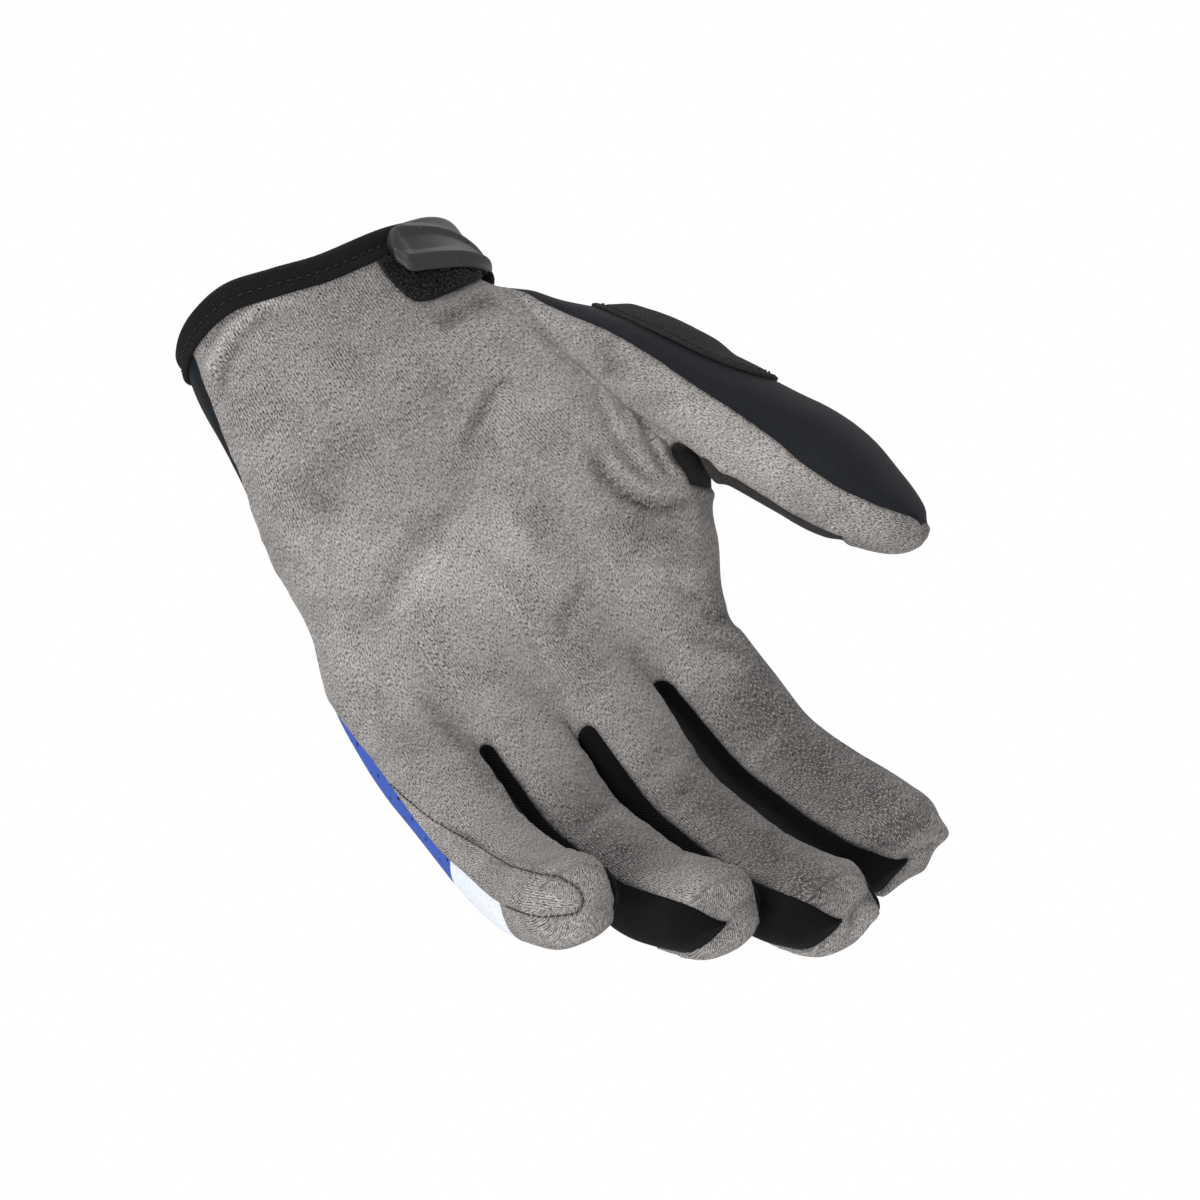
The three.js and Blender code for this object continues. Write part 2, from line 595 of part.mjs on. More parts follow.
// The little finger's face at any angle on its outer side and front
function littleSkin(angle, t) {
  const [p, d] = along(ULNAR_SEAM, t);
  const { palm, digit } = FRONT.little;
  const palmAngle = angle < digit[0]
    ? lerp(p, palm[0], (angle - d) / (digit[0] - d))
    : lerp(...palm, (angle - digit[0]) / (digit[1] - digit[0]));
  return gloved(DIGITS.little, palmAngle, angle, t);
}

// Plate over the cloth between two edges that a table gives for each level
function overlayPlate() {
  const sheet = new Sheet();
  const levels = OVERLAY.map((row) => row[0]);
  return sheet.patch(FOUR, levels, (u, t) => {
    const [a, b] = along(OVERLAY, t);
    return littleSkin(lerp(a, b, u), t);
  });
}

function loopPatch() {
  const sheet = new Sheet();
  const angles = LOOP.map((row) => row[0]);
  return sheet.patch(angles, FOUR, (angle, v) => {
    const top = mouth(angle) + cuff.width + 0.4;
    return skin(angle, lerp(top, along(LOOP, angle)[0], v));
  });
}

// Rubber tab that comes round the thumb's side of the wrist from the back
function closureTab() {
  const sheet = new Sheet();
  const angles = [24.5, 26.5, 30.5, 37.5, 45, 53, 62, 71, 80, 90, 105, 120, 135, 150];
  const place = (angle, v) => {
    const [top, bottom] = along(TAB, angle);
    return skin(angle, lerp(top, bottom, v));
  };
  const crown = (angle, v) => 0.5 * Math.sin(Math.PI * v);
  return sheet.patch(angles, SIX, place, false, crown);
}

// Binding folded over the hem all the way round the wrist
function cuffBinding() {
  const over = 0.4;
  const under = -cloth.palm - 0.4;
  const w = cuff.width;
  const profile = [
    // height over the cloth, distance down from the mouth
    [over, w], [over + 1, w], [over + 1.15, w * 0.55], [over + 0.95, 1], [0.5, -0.4], [-0.75, -0.8],
    [-2, -0.4], [under - 1, 1], [under - 1, w - 1], [under, w - 1], [under, 1], [-0.75, 0.15], [over, 1],
  ];
  const count = 48;
  const points = [];
  const tris = [];
  for (let i = 0; i < count; i += 1) {
    const angle = -180 + 360 * i / count;
    const edge = mouth(angle);
    profile.forEach(([h, d]) => {
      const here = skin(angle < -98 ? angle + 360 : angle, edge + d);
      const beside = skin((angle < -98 ? angle + 360 : angle) + 0.5, edge + d);
      const tangent = beside.sub(here);
      const below = skin(angle < -98 ? angle + 360 : angle, edge + d + 0.5).sub(here);
      points.push(here.addScaledVector(below.cross(tangent).normalize(), h));
    });
  }
  const m = profile.length;
  for (let i = 0; i < count; i += 1) {
    for (let j = 0; j < m; j += 1) {
      const a = i * m + j;
      const b = i * m + (j + 1) % m;
      const c = ((i + 1) % count) * m + (j + 1) % m;
      const d = ((i + 1) % count) * m + j;
      tris.push([a, c, b], [a, d, c]);
    }
  }
  return { points, tris };
}

const SUEDE = new THREE.MeshStandardMaterial({ name: 'palm_suede', color: 0x8f8983, roughness: 0.95, metalness: 0 });
const PRINT = new THREE.MeshStandardMaterial({ name: 'back_print', color: 0x3c59ad, roughness: 0.8, metalness: 0 });
const RIB = new THREE.MeshStandardMaterial({ name: 'side_rib', color: 0x141516, roughness: 0.9, metalness: 0 });
const STRETCH = new THREE.MeshStandardMaterial({ name: 'thumb_stretch', color: 0x22252b, roughness: 0.85, metalness: 0 });
const DARK = new THREE.MeshStandardMaterial({ name: 'dark_suede', color: 0x2c2926, roughness: 0.95, metalness: 0 });
const ELASTIC = new THREE.MeshStandardMaterial({ name: 'cuff_elastic', color: 0x15171a, roughness: 0.85, metalness: 0 });
const PILE = new THREE.MeshStandardMaterial({ name: 'loop_pile', color: 0x0e0e0f, roughness: 1, metalness: 0 });
const RUBBER = new THREE.MeshStandardMaterial({ name: 'tab_rubber', color: 0x3c3c3c, roughness: 0.6, metalness: 0 });

function build(name, body, material) {
  const geometry = new THREE.BufferGeometry();
  geometry.setAttribute('position', new THREE.Float32BufferAttribute(body.points.flatMap((p) => [p.x, p.y, p.z]), 3));
  geometry.setIndex(body.tris.flat());
  const mesh = new THREE.Mesh(geometry, material);
  mesh.name = name;
  return mesh;
}

const pieces = {
  palm_panel: [palmPanel(), cloth.palm, SUEDE],
  back_panel: [backPanel(), cloth.back, PRINT],
  ...Object.fromEntries(GAPS.map((gap) => [`fourchette_${gap.left}_${gap.right}`, [fourchette(gap), cloth.side, RIB]])),
  thumb_back_panel: [thumbBackPanel(), cloth.back, STRETCH],
  thumb_crotch_patch: [crotchPatch(), cloth.side, DARK],
};
const whole = Object.values(pieces).reduce((all, [sheet]) => all.join(sheet), new Sheet());

const glove = new THREE.Group();
glove.name = 'motocross_glove';
Object.entries(pieces).forEach(([name, [sheet, thickness, material]]) => {
  glove.add(build(name, sheet.follow(whole).drawIn(cloth.gap).slab(0, -thickness), material));
});
glove.add(build('thumb_knuckle_pad', knucklePad().slab(cloth.lift + KNUCKLE.flange, cloth.lift), DARK));
glove.add(build('little_finger_overlay', overlayPlate().slab(0.5 + cloth.overlay, 0.5), SUEDE));
glove.add(build('loop_patch', loopPatch().slab(1.85, 0.98), PILE));
glove.add(build('closure_tab', closureTab().slab(4.2, 2.2), RUBBER));
glove.add(build('cuff_binding', cuffBinding(), ELASTIC));

export default glove;
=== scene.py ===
"""Looks of a motocross glove: brushed suede palm, printed knit back, ribbed finger sides, padded thumb
knuckle."""

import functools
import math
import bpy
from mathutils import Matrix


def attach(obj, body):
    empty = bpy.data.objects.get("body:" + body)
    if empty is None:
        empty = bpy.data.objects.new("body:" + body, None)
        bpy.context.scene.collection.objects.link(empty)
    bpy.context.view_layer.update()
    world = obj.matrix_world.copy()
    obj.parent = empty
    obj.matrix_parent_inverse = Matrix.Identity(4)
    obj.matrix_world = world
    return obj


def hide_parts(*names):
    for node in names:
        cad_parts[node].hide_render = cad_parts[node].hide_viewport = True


bl_info = {
    "name": "Motocross Glove",
    "version": (1, 0, 0),
    "blender": (4, 5, 0),
    "location": "View3D > Sidebar > Glove",
    "description": "Builds the cloth, trim, seams and finishes of a motocross glove",
    "category": "Add Mesh",
}

import bpy
import numpy as np
from mathutils import Matrix, Vector

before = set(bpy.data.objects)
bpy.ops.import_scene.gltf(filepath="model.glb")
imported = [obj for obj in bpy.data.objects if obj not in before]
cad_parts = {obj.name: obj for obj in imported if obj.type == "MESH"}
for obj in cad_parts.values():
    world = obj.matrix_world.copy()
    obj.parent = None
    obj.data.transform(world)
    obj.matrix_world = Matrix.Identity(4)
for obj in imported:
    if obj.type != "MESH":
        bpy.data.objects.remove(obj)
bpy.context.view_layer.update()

# Lengths below are in millimetres, as on a pattern cutter's table
MM = 0.001

# Driving sizes of the hand and the cloth
WRIST = {"width": 64.0, "palm_depth": 19.0, "back_depth": 19.0}
HAND = {"width": 97.0, "palm_depth": 12.5, "back_depth": 10.5}
CUFF = {"width": 6.0, "fold": 1.2}
W = WRIST["width"] / 2
H = HAND["width"] / 2

# Outline of the hand without the thumb: t below the wrist opening, centre x, half width, centre y,
# depth in front, depth behind, squareness
PALM = [
    (-8, -1.2, W - 0.6, 0, WRIST["palm_depth"] + 1, WRIST["back_depth"] + 1, 2.25),
    (10, -4.0, W + 1.6, 0, WRIST["palm_depth"], WRIST["back_depth"] - 1, 2.3),
    (22, -4.2, W + 2.8, 0, WRIST["palm_depth"] - 0.3, WRIST["back_depth"] - 2, 2.3),
    (32, -3.7, W + 5.0, 0, WRIST["palm_depth"] - 0.5, WRIST["back_depth"] - 2.5, 2.3),
    (50, -3.5, H - 6.6, 0, 17.5, 15, 2.35),
    (70, -3.8, H - 4.3, 0, 16, 13.5, 2.4),
    (85, -3.0, H + 1.5, 0, 14, 12, 2.5),
    (100, -4.1, H + 1.8, -0.5, HAND["palm_depth"], HAND["back_depth"], 2.6),
    (117, -6.3, H - 1.3, -1, 11, 10, 2.6),
    (135, -7.5, H - 4.5, -1, 10.5, 9.5, 2.6),
]

# The five digits: where each starts, how it is turned and bent, and how long its parts are
DIGITS = {
    "little": {
        "base": (-43.9, -2.8), "start": 95.8, "spread": -9.6, "roll": 5.4, "bend": (21.2, 24.1, 16.8),
        "bones": (5.0, 36.4, 20.6, 23.2), "half": 9.8, "depth": 9.2, "blend": (84, 112), "square": 2.6,
    },
    "ring": {
        "base": (-24.4, -0.9), "start": 94.3, "spread": -7.0, "roll": 14.3, "bend": (11.1, 23.2, 18.8),
        "bones": (4.7, 41.1, 25.7, 26.8), "half": 10.05, "depth": 9.4, "blend": (86, 115), "square": 2.6,
    },
    "middle": {
        "base": (-3.8, -0.8), "start": 96.3, "spread": -5.3, "roll": 15.0, "bend": (8.1, 22.2, 18.6),
        "bones": (4.8, 46.1, 28.8, 25.7), "half": 10.2, "depth": 9.9, "blend": (88, 118), "square": 2.6,
    },
    "index": {
        "base": (19.2, 1.1), "start": 99.0, "spread": 2.2, "roll": -1.5, "bend": (1.0, 33.0, 8.8),
        "bones": (4.8, 42.3, 24.3, 24.9), "half": 11.1, "depth": 10.9, "blend": (84, 122), "square": 2.6,
    },
    "thumb": {
        "base": (35.4, -13.5), "start": 39.0, "spread": 26.9, "roll": -50.0, "bend": (3.0, 2.3, 8.8),
        "bones": (7.2, 36.5, 23.3, 28.7), "half": 12.3, "depth": 12.3, "blend": (18, 64), "square": 2.3,
        "inner_blend": (40, 80), "inner_angle": -84, "tip": 24, "lean": 0.5, "lean_angle": 120,
    },
}

# Length over which a joint turns, length and power of a fingertip's rounding
JOINT_LENGTH = 16
TIP = {"length": 9, "power": 2.4}
# How much squarer a finger is at its root, where that starts to fade and over what length
ROOT_SQUARE = (0.8, 15, 35)
# Thumb: distance from the root, width factor, depth factor
THUMB_GIRTH = [(-30, 1.15, 1.1), (0, 0.95, 1.04), (25, 0.79, 0.96), (48, 0.935, 0.95), (68, 1.035, 0.98),
               (82, 0.80, 0.955), (95, 0.69, 0.86)]
# How far the root of the thumb draws the hand's side: t, outward, forward
THUMB_PULL = [(14, 0, 0), (22, 0.6, 0.5), (31, 3.8, 3.1), (42, 2.8, 4.6), (58, 4.2, 6.2), (72, 6.2, 4.5),
              (86, 1.5, 0.8), (100, 0, 0)]
# Angle where that pull starts, where it is full, and over how much it fades behind
THUMB_PULL_ANGLES = (12, 75, 70)
# The palm's hollow and the ball of the thumb: depth, then place and half breadth across, as shares of half
# the hand, and down
PALM_RELIEF = [(3.2, 0.05, 0.42, 62, 26), (-1.0, 0.7, 0.3, 42, 24)]
# Height of the wrist opening: degrees from the middle of the palm, t
MOUTH = [(-180, -0.5), (-135, -1.4), (-90, -1.6), (-60, -3.0), (-40, -3.0), (-20, 0.1), (0, 2.9),
         (30, 4.0), (60, 5.5), (90, 6.0), (120, 4.5), (150, 1.5), (180, -0.5)]

# Columns of the cloth: angles on the palm's section and on the digit, left edge then right edge
FRONT = {
    "little": {"palm": (-62, -34.2), "digit": (-50, 55)},
    "ring": {"palm": (-31.5, -10.2), "digit": (-55, 55)},
    "middle": {"palm": (-8.3, 13.4), "digit": (-55, 55)},
    "index": {"palm": (18.6, 36), "digit": (-55, 55)},
}
BACK = {
    "index": {"palm": (112, 161.4), "digit": (105, 235)},
    "middle": {"palm": (166.6, 188.3), "digit": (125, 235)},
    "ring": {"palm": (190.2, 211.5), "digit": (125, 235)},
}
BACK_LITTLE = 214.2
THUMB_ASIDE = 4
THUMB_INNER_EDGE = -38
THUMB_BACK = {"palm": 108, "digit": -130}
RADIAL = {"palm": 112, "digit": 105}

# Seams that wander: t, angle on the palm's section, angle on the digit
ULNAR_SEAM = [(-8, -72, -76), (12, -76, -80), (26, -90, -94), (50, -104, -100), (78, -100, -98),
              (95, -88, -86), (108, -84, -84), (121, -80, -83), (137, -74, -73), (148, -70, -71),
              (160, -70, -76), (190, -70, -78)]
THUMB_OUTER_SEAM = [(-8, 64, 24), (26, 69, 35), (45, 80, 50), (60, 80, 46), (72, 80, 36.5), (84, 80, 29.5),
                    (90, 80, 25.5), (97, 80, 19.5), (104, 80, 20), (108, 80, 23), (112, 80, 29.5),
                    (115, 80, 35), (118, 80, 44), (120, 80, 54), (122, 80, 68), (125, 80, 80)]

# Levels where the slots end
SLOT = {"ulnar": 112, "little": 117, "ring": 124.5, "middle": 122, "thumb": 80}
# How far from a digit's tip its suede hood ends
HOOD = {"back": 20, "side": 0.00874, "thumb_side": 14, "thumb_tip": 1.5}
# Ribbed strips on the fingers' sides: angles of the front edge, of the back edge along the finger, over the
# last joint and at the tip, and of the point. Distances from the tip where the back edge widens and turns
# in. Shares of the tip's rounding where the strips end on the two sides of a finger
STRIP = {"from": 55, "to": 125, "wide": 138, "tip": 124, "end": 114, "widens": (42, 22), "turns_in": 17,
         "ulnar_tip": 0.08, "radial_tip": 0.8}
# How much lower the thumb's crotch is at the back, and the share of the index finger's side that its patch
# covers
CROTCH = {"rise": 0.6, "share": 0.16}
# Levels where each column ends, on its left and on its right
ENDS = {
    "little": (SLOT["ulnar"], SLOT["little"]), "ring": (SLOT["little"], SLOT["ring"]),
    "middle": (SLOT["ring"], SLOT["middle"]), "index": (SLOT["middle"], SLOT["middle"]),
}

# Lower edge of the loop patch: degrees, t. Then the tab's two edges: degrees, upper t, lower t
LOOP = [(19, 14), (20.5, 20), (24, 22.8), (32, 23.8), (42, 23.8), (52, 23.2), (62, 22.2), (71, 21),
        (80, 19.5)]
TAB = [(24.5, 8.5, 12.5), (26.5, 6.5, 15.6), (30.5, 5.0, 16.8), (43, 4.8, 18.9), (53, 5.2, 20.2),
       (62, 6, 21.5), (75, 7.5, 22.5), (90, 9, 23), (120, 9, 22.5), (140, 8.5, 21), (150, 10, 19.5)]
# Thumb pad: its middle, half length and half angle, heights of its flange and dome, squareness of its oval,
# and the shares of its breadth where the sewing and the round rim lie
KNUCKLE = {"t": 63.5, "angle": 122, "half_length": 19.5, "half_angle": 41, "flange": 1.0, "dome": 1.5,
           "square": 2.5, "seam": 0.9, "rim": 0.965}
# Left and right edges of the little finger's overlay: t, two angles on the digit
OVERLAY = [(104, -82, -80), (110, -81, -73), (116, -80, -65), (124, -78, -51), (132, -73, -40),
           (142, -69, -31), (154, -73, -25), (164, -79, -21), (171, -83, -19.5), (175.5, -85, -18.5),
           (178.2, -83, -20), (179.5, -74, -28)]


def lerp(a, b, f):
    """Straight blend from a to b."""
    return a + (b - a) * f


def smooth(x):
    """Smooth step from 0 to 1 with level ends."""
    x = np.clip(x, 0.0, 1.0)
    return x * x * (3 - 2 * x)


def vec(x, y, z):
    """Points from three arrays of coordinates."""
    return np.stack(np.broadcast_arrays(np.asarray(x, float), y, z), axis=-1)


def wrapped(angle):
    """The same angle between -180 and 180 degrees."""
    return (angle + 180) % 360 - 180


def steps(n):
    """n + 1 even shares from 0 to 1."""
    return np.linspace(0.0, 1.0, n + 1)


def eased(n):
    """n + 1 shares from 0 to 1, closer together at both ends: half a cosine wave."""
    return (1 - np.cos(math.pi * steps(n))) / 2


def bell(x, middle, half):
    """Bell curve exp(-((x - middle) / half)^2)."""
    return np.exp(-((x - middle) / half) ** 2)


def run_along(path):
    """Distance along a path at each of its points."""
    return np.concatenate(([0], np.cumsum(np.linalg.norm(np.diff(path, axis=0), axis=1))))


def read_at(spots, run, values):
    """What a path's points hold, read at distances along it."""
    return np.stack([np.interp(spots, run, values[:, k]) for k in range(values.shape[1])], axis=-1)


def along(rows, t):
    """Reads a table at stations t. Between two rows it is a cubic whose slopes are those of the rows'
    neighbours."""
    table = np.asarray(rows, float)
    x, y = table[:, 0], table[:, 1:]
    k = np.clip(np.asarray(t, float), x[0], x[-1])
    i = np.clip(np.searchsorted(x, k, side="right") - 1, 0, len(x) - 2)
    after = np.minimum(np.arange(len(x)) + 1, len(x) - 1)
    before = np.maximum(np.arange(len(x)) - 1, 0)
    slope = (y[after] - y[before]) / (x[after] - x[before])[:, None]
    h = (x[i + 1] - x[i])[..., None]
    u = (k - x[i])[..., None] / h
    out = (y[i] * (1 + 2 * u) * (1 - u) ** 2 + slope[i] * h * u * (1 - u) ** 2
           + y[i + 1] * u * u * (3 - 2 * u) + slope[i + 1] * h * u * u * (u - 1))
    return np.moveaxis(out, -1, 0)


def oval(angle, square):
    """Point of a rounded oval: the radius is (|sin|^n + |cos|^n)^(-1/n), as shares of half width and
    depth."""
    s, c = np.sin(np.radians(angle)), np.cos(np.radians(angle))
    r = (np.abs(s) ** square + np.abs(c) ** square) ** (-1 / square)
    return r * s, r * c


def palm_point(angle, t):
    """Hand without fingers: an oval section at t, hollowed in the palm, filled at the thumb's ball, drawn to
    the thumb."""
    cx, half, cy, front, back, square = along(PALM, t)
    x, y = oval(angle, square)
    facing = y > 0
    relief = sum(depth * bell(x, across, wide) * bell(t, down, long)
                 for depth, across, wide, down, long in PALM_RELIEF) * facing
    out, forward = along(THUMB_PULL, t)
    turn, (start, full, fade) = wrapped(angle), THUMB_PULL_ANGLES
    pull = np.where(turn < full, smooth((turn - start) / (full - start)), 1 - smooth((turn - full) / fade))
    depth = np.where(facing, front, back)
    return vec(cx + half * x + out * pull, cy - depth * y + relief * y - forward * pull, -t)


@functools.cache
def spine_table(name):
    """A digit's centre line every quarter millimetre: the running sum of its direction, which turns at three
    joints."""
    digit = DIGITS[name]
    spread, roll = math.radians(digit["spread"]), math.radians(digit["roll"])
    down = np.array((math.sin(spread), 0.0, -math.cos(spread)))
    side = np.array((math.cos(spread), 0.0, math.sin(spread)))
    pad = np.array((0.0, -math.cos(roll), 0.0)) + side * math.sin(roll)
    across = side * math.cos(roll) + np.array((0.0, math.sin(roll), 0.0))
    s = np.linspace(0, sum(digit["bones"]), int(sum(digit["bones"]) * 4))
    joints = np.cumsum(digit["bones"][:3])
    turn = sum(math.radians(b) * smooth((s - j) / JOINT_LENGTH + 0.5) for b, j in zip(digit["bend"], joints))
    way = np.cos(turn)[:, None] * down + np.sin(turn)[:, None] * pad
    run = np.vstack((np.zeros(3), np.cumsum((way[1:] + way[:-1]) / 2 * (s[1] - s[0]), axis=0)))
    centre = run + np.array((digit["base"][0], digit["base"][1], -digit["start"]))
    out = np.cos(turn)[:, None] * pad - np.sin(turn)[:, None] * down
    return s, centre, across, out, down


def length_of(name):
    """Length of a digit from its root to its tip."""
    return sum(DIGITS[name]["bones"])


def slant(name):
    """Length along the digit for each millimetre down."""
    return 1 / math.cos(math.radians(DIGITS[name]["spread"])) if name == "thumb" else 1.0


def reach(name, s):
    """Level t of a station s along a digit."""
    return DIGITS[name]["start"] + s / slant(name)


def closing(name, s):
    """Share of a digit's half width that is left at a station near its tip."""
    rounding = DIGITS[name].get("tip", TIP["length"])
    k = np.clip((s - length_of(name) + rounding) / rounding, 0, 1)
    return (1 - k ** TIP["power"]) ** (1 / TIP["power"])


def digit_point(name, angle, s):
    """Tube round a digit's centre line: an oval section that closes over the tip as (1 - k^2.4)^(1/2.4)."""
    digit = DIGITS[name]
    total = length_of(name)
    table_s, centre, across, out, down = spine_table(name)
    held = np.clip(s, 0, total)
    mid = read_at(held, table_s, centre) + np.minimum(s, 0)[..., None] * down
    front = read_at(held, table_s, out)
    cap = closing(name, s)
    wide, deep = along(THUMB_GIRTH, s) if name == "thumb" else (1.0, 1.0)
    most, start, fade = ROOT_SQUARE
    full = 0.0 if name == "thumb" else most * (1 - smooth((s - start) / fade))
    x, y = oval(angle, digit["square"] + full)
    lean_x, lean_y = (c * digit.get("lean", 0) * (1 - cap) for c in oval(digit.get("lean_angle", 0), 2))
    return (mid + (digit["half"] * cap * wide * x + lean_x)[..., None] * across
            + (digit["depth"] * cap * deep * y + lean_y)[..., None] * front)


def gloved(name, palm_angle, digit_angle, t):
    """The glove's outer face in a digit's column: hand at the wrist end, digit at the other, blended in
    between."""
    digit = DIGITS[name]
    palm_angle, digit_angle, t = np.broadcast_arrays(
        np.asarray(palm_angle, float), np.asarray(digit_angle, float), np.asarray(t, float))
    first, last = digit["blend"]
    if "inner_blend" in digit:
        inner = smooth((np.cos(np.radians(digit_angle - digit["inner_angle"])) + 0.2) / 1.2)
        first = lerp(first, digit["inner_blend"][0], inner)
        last = lerp(last, digit["inner_blend"][1], inner)
    w = smooth((t - first) / (last - first))[..., None]
    return lerp(palm_point(palm_angle, t),
                digit_point(name, digit_angle, (t - digit["start"]) * slant(name)), w)


def strip(name, palm, digit):
    """A strip of that face between two pairs of angles, u across and t down."""
    return lambda u, t: gloved(name, lerp(*palm, u), lerp(*digit, u), t)


def parting(t):
    """Line on the palm that parts the index finger's cloth from the thumb's, moving outwards down to the
    crotch."""
    return lerp(FRONT["index"]["palm"][1], 52, smooth(t / SLOT["thumb"]))


def beside_parting(t):
    """Where the thumb's own cloth begins, just outside the parting line."""
    return parting(t) + THUMB_ASIDE


def column(name):
    """Front of a finger's column."""
    if name == "index":
        return lambda u, t: strip(name, (FRONT[name]["palm"][0], parting(t)), FRONT[name]["digit"])(u, t)
    return strip(name, FRONT[name]["palm"], FRONT[name]["digit"])


def radial_side(u, t):
    """Side of the index finger towards the thumb."""
    return strip("index", (parting(t), RADIAL["palm"]), (55, RADIAL["digit"]))(u, t)


def ulnar_side(u, t):
    """Outer side of the hand and of the little finger."""
    p, d = along(ULNAR_SEAM, t)
    return strip("little", (p, FRONT["little"]["palm"][0]), (d, FRONT["little"]["digit"][0]))(u, t)


def strip_to(name, t):
    """Angle of the side strips' back edge, which moves to the back over the last joint and turns in at the
    tip."""
    left = reach(name, length_of(name)) - t
    start, length = STRIP["widens"]
    wide = lerp(STRIP["to"], STRIP["wide"], smooth((start - left) / length))
    return lerp(wide, STRIP["tip"], smooth(1 - left / STRIP["turns_in"]))


def behind(name):
    """Back of a finger's column."""
    def place(u, t):
        wide = strip_to(name, t)
        if name == "little":
            p, d = along(ULNAR_SEAM, t)
            return strip(name, (BACK_LITTLE, 360 + p), (wide, 360 + d))(u, t)
        first = RADIAL["digit"] if name == "index" else wide
        return strip(name, BACK[name]["palm"], (first, 360 - wide))(u, t)
    return place


def thumb_inner(u, t):
    """Side of the thumb towards the index finger."""
    return strip("thumb", (THUMB_BACK["palm"], beside_parting(t)),
                 (THUMB_BACK["digit"], THUMB_INNER_EDGE))(u, t)


def thumb_front(u, t):
    """Suede front of the thumb."""
    p, d = along(THUMB_OUTER_SEAM, t)
    return strip("thumb", (beside_parting(t), p), (THUMB_INNER_EDGE, d))(u, t)


def thumb_rear(u, t):
    """Stretch back of the thumb."""
    p, d = along(THUMB_OUTER_SEAM, t)
    return strip("thumb", (p, THUMB_BACK["palm"]), (d, 360 + THUMB_BACK["digit"]))(u, t)


def between(edge_a, edge_b, angles_at):
    """Cloth between two columns: the hand's own face, moved by what its left and right edges have moved."""
    def place(q, t):
        a, b = angles_at(t)
        f = smooth(q)[..., None]
        return (palm_point(lerp(a, b, q), t) + (edge_a(t) - palm_point(a, t)) * (1 - f)
                + (edge_b(t) - palm_point(b, t)) * f)
    return place


def saddle(side_a, side_b, t, rise=0.0):
    """Round end of a slot: half a circle from the left digit to the right one, w from the front to the
    back."""
    def place(q, w):
        a, b = side_a(w, t), side_b(w, t)
        turn = np.arccos(np.clip(1 - 2 * q, -1, 1))
        half = (b - a) / 2
        lift = (1 - rise * w) * np.linalg.norm(half, axis=-1) * np.sin(turn)
        out = (a + b) / 2 - half * np.cos(turn)[..., None]
        out[..., 2] += lift
        return out
    return place


def slot_between(left, right):
    """The two walls, the web's angles and the round end of the slot between two fingers."""
    front = (FRONT[left]["palm"][1], FRONT[right]["palm"][0])

    def across(name, w, t, share):
        return lerp(STRIP["end"], lerp(STRIP["from"], strip_to(name, t), w), share)

    def wall_a(w, t, share=1.0):
        return gloved(left, front[0], across(left, w, t, share), t)

    def wall_b(w, t, share=1.0):
        return gloved(right, front[1], -across(right, w, t, share), t)
    return {"left": left, "right": right, "front": front, "back": (180 - front[1], 180 - front[0]),
            "a": wall_a, "b": wall_b, "end": SLOT[left], "saddle": saddle(wall_a, wall_b, SLOT[left])}


SLOTS = [slot_between(*pair) for pair in (("little", "ring"), ("ring", "middle"), ("middle", "index"))]
crotch = saddle(radial_side, lambda w, t: thumb_inner(1 - w, t), SLOT["thumb"], CROTCH["rise"])
join_front = between(lambda t: column("index")(1, t), lambda t: thumb_front(0, t),
                     lambda t: (parting(t), beside_parting(t)))
join_back = between(lambda t: thumb_rear(1, t), lambda t: behind("index")(0, t),
                    lambda t: (THUMB_BACK["palm"], RADIAL["palm"]))


def skin(angle, t):
    """The glove's face at any angle round the hand above the crotch."""
    angle, t = np.broadcast_arrays(np.asarray(angle, float), np.asarray(t, float))
    a, b = parting(t), beside_parting(t)
    seam = along(THUMB_OUTER_SEAM, t)[0]
    rear = THUMB_BACK["palm"]
    out = palm_point(angle, t)
    for low, high, place in ((a, b, join_front), (b, seam, thumb_front), (seam, rear, thumb_rear),
                             (rear, RADIAL["palm"], join_back)):
        share = np.clip((angle - low) / (high - low), 0, 1)
        here = ((angle >= low) & (angle < high) & (angle < RADIAL["palm"]))[..., None]
        out = np.where(here, place(share, t), out)
    return out


def mouth(angle):
    """Level of the wrist opening at an angle round the cuff."""
    return along(MOUTH, wrapped(np.asarray(angle, float)))[0]


def upper(angle, v):
    """Levels from the hem to the crotch."""
    return lerp(mouth(angle) + CUFF["fold"], SLOT["thumb"], v)


def taper(name, s, side):
    """Share of a side strip's breadth near a fingertip, where it runs out like the end of a leaf."""
    k = (1 - closing(name, s)) / (1 - STRIP[side])
    return np.sqrt(np.maximum(1 - k * k, 0))


def to_arc(place, start, last, arc):
    """Cloth whose rows run from a start level down to the round end of a slot, and bend to it on the way."""
    def at(u, v):
        goal = arc(u)
        chord = lerp(arc(0 * u), arc(0 * u + 1), u[..., None])
        level = last - (goal - chord)[..., 2]
        return place(u, lerp(start(u), level, v)) + (goal - place(u, level)) * (v ** 3)[..., None]
    return at


def row_at(name, end, v):
    """Levels along a finger from the end of its slot to the edge of its hood."""
    s = (end - DIGITS[name]["start"]) * slant(name)
    return reach(name, lerp(s, length_of(name) - HOOD["back"], v))


# Cells of each stretch of cloth, about 0.9 mm each
CELLS = {"column": 24, "web": 6, "side": 16, "back": 28, "back_little": 32, "thumb_front": 20,
         "thumb_inner": 20, "thumb_rear": 44, "wall": 14, "upper": 84, "root": 44, "finger": 48, "near": 28,
         "cap": 12, "finger_cap": 4, "shaft": 44, "thumb_near": 16}
ROUND_WEB = eased(CELLS["web"])
UPPER_ROWS = steps(CELLS["upper"])
ROOT_ROWS = steps(CELLS["root"])
FINGER_ROWS = steps(CELLS["finger"])
PALM_FACE, BACK_FACE, THUMB_FACE, CROTCH_FACE = "palm", "back", "thumb", "crotch"
PANELS = [PALM_FACE, BACK_FACE, THUMB_FACE, CROTCH_FACE, "little_ring", "ring_middle", "middle_index"]
# Points closer than this, in mm, are one point
WELD = 0.0097


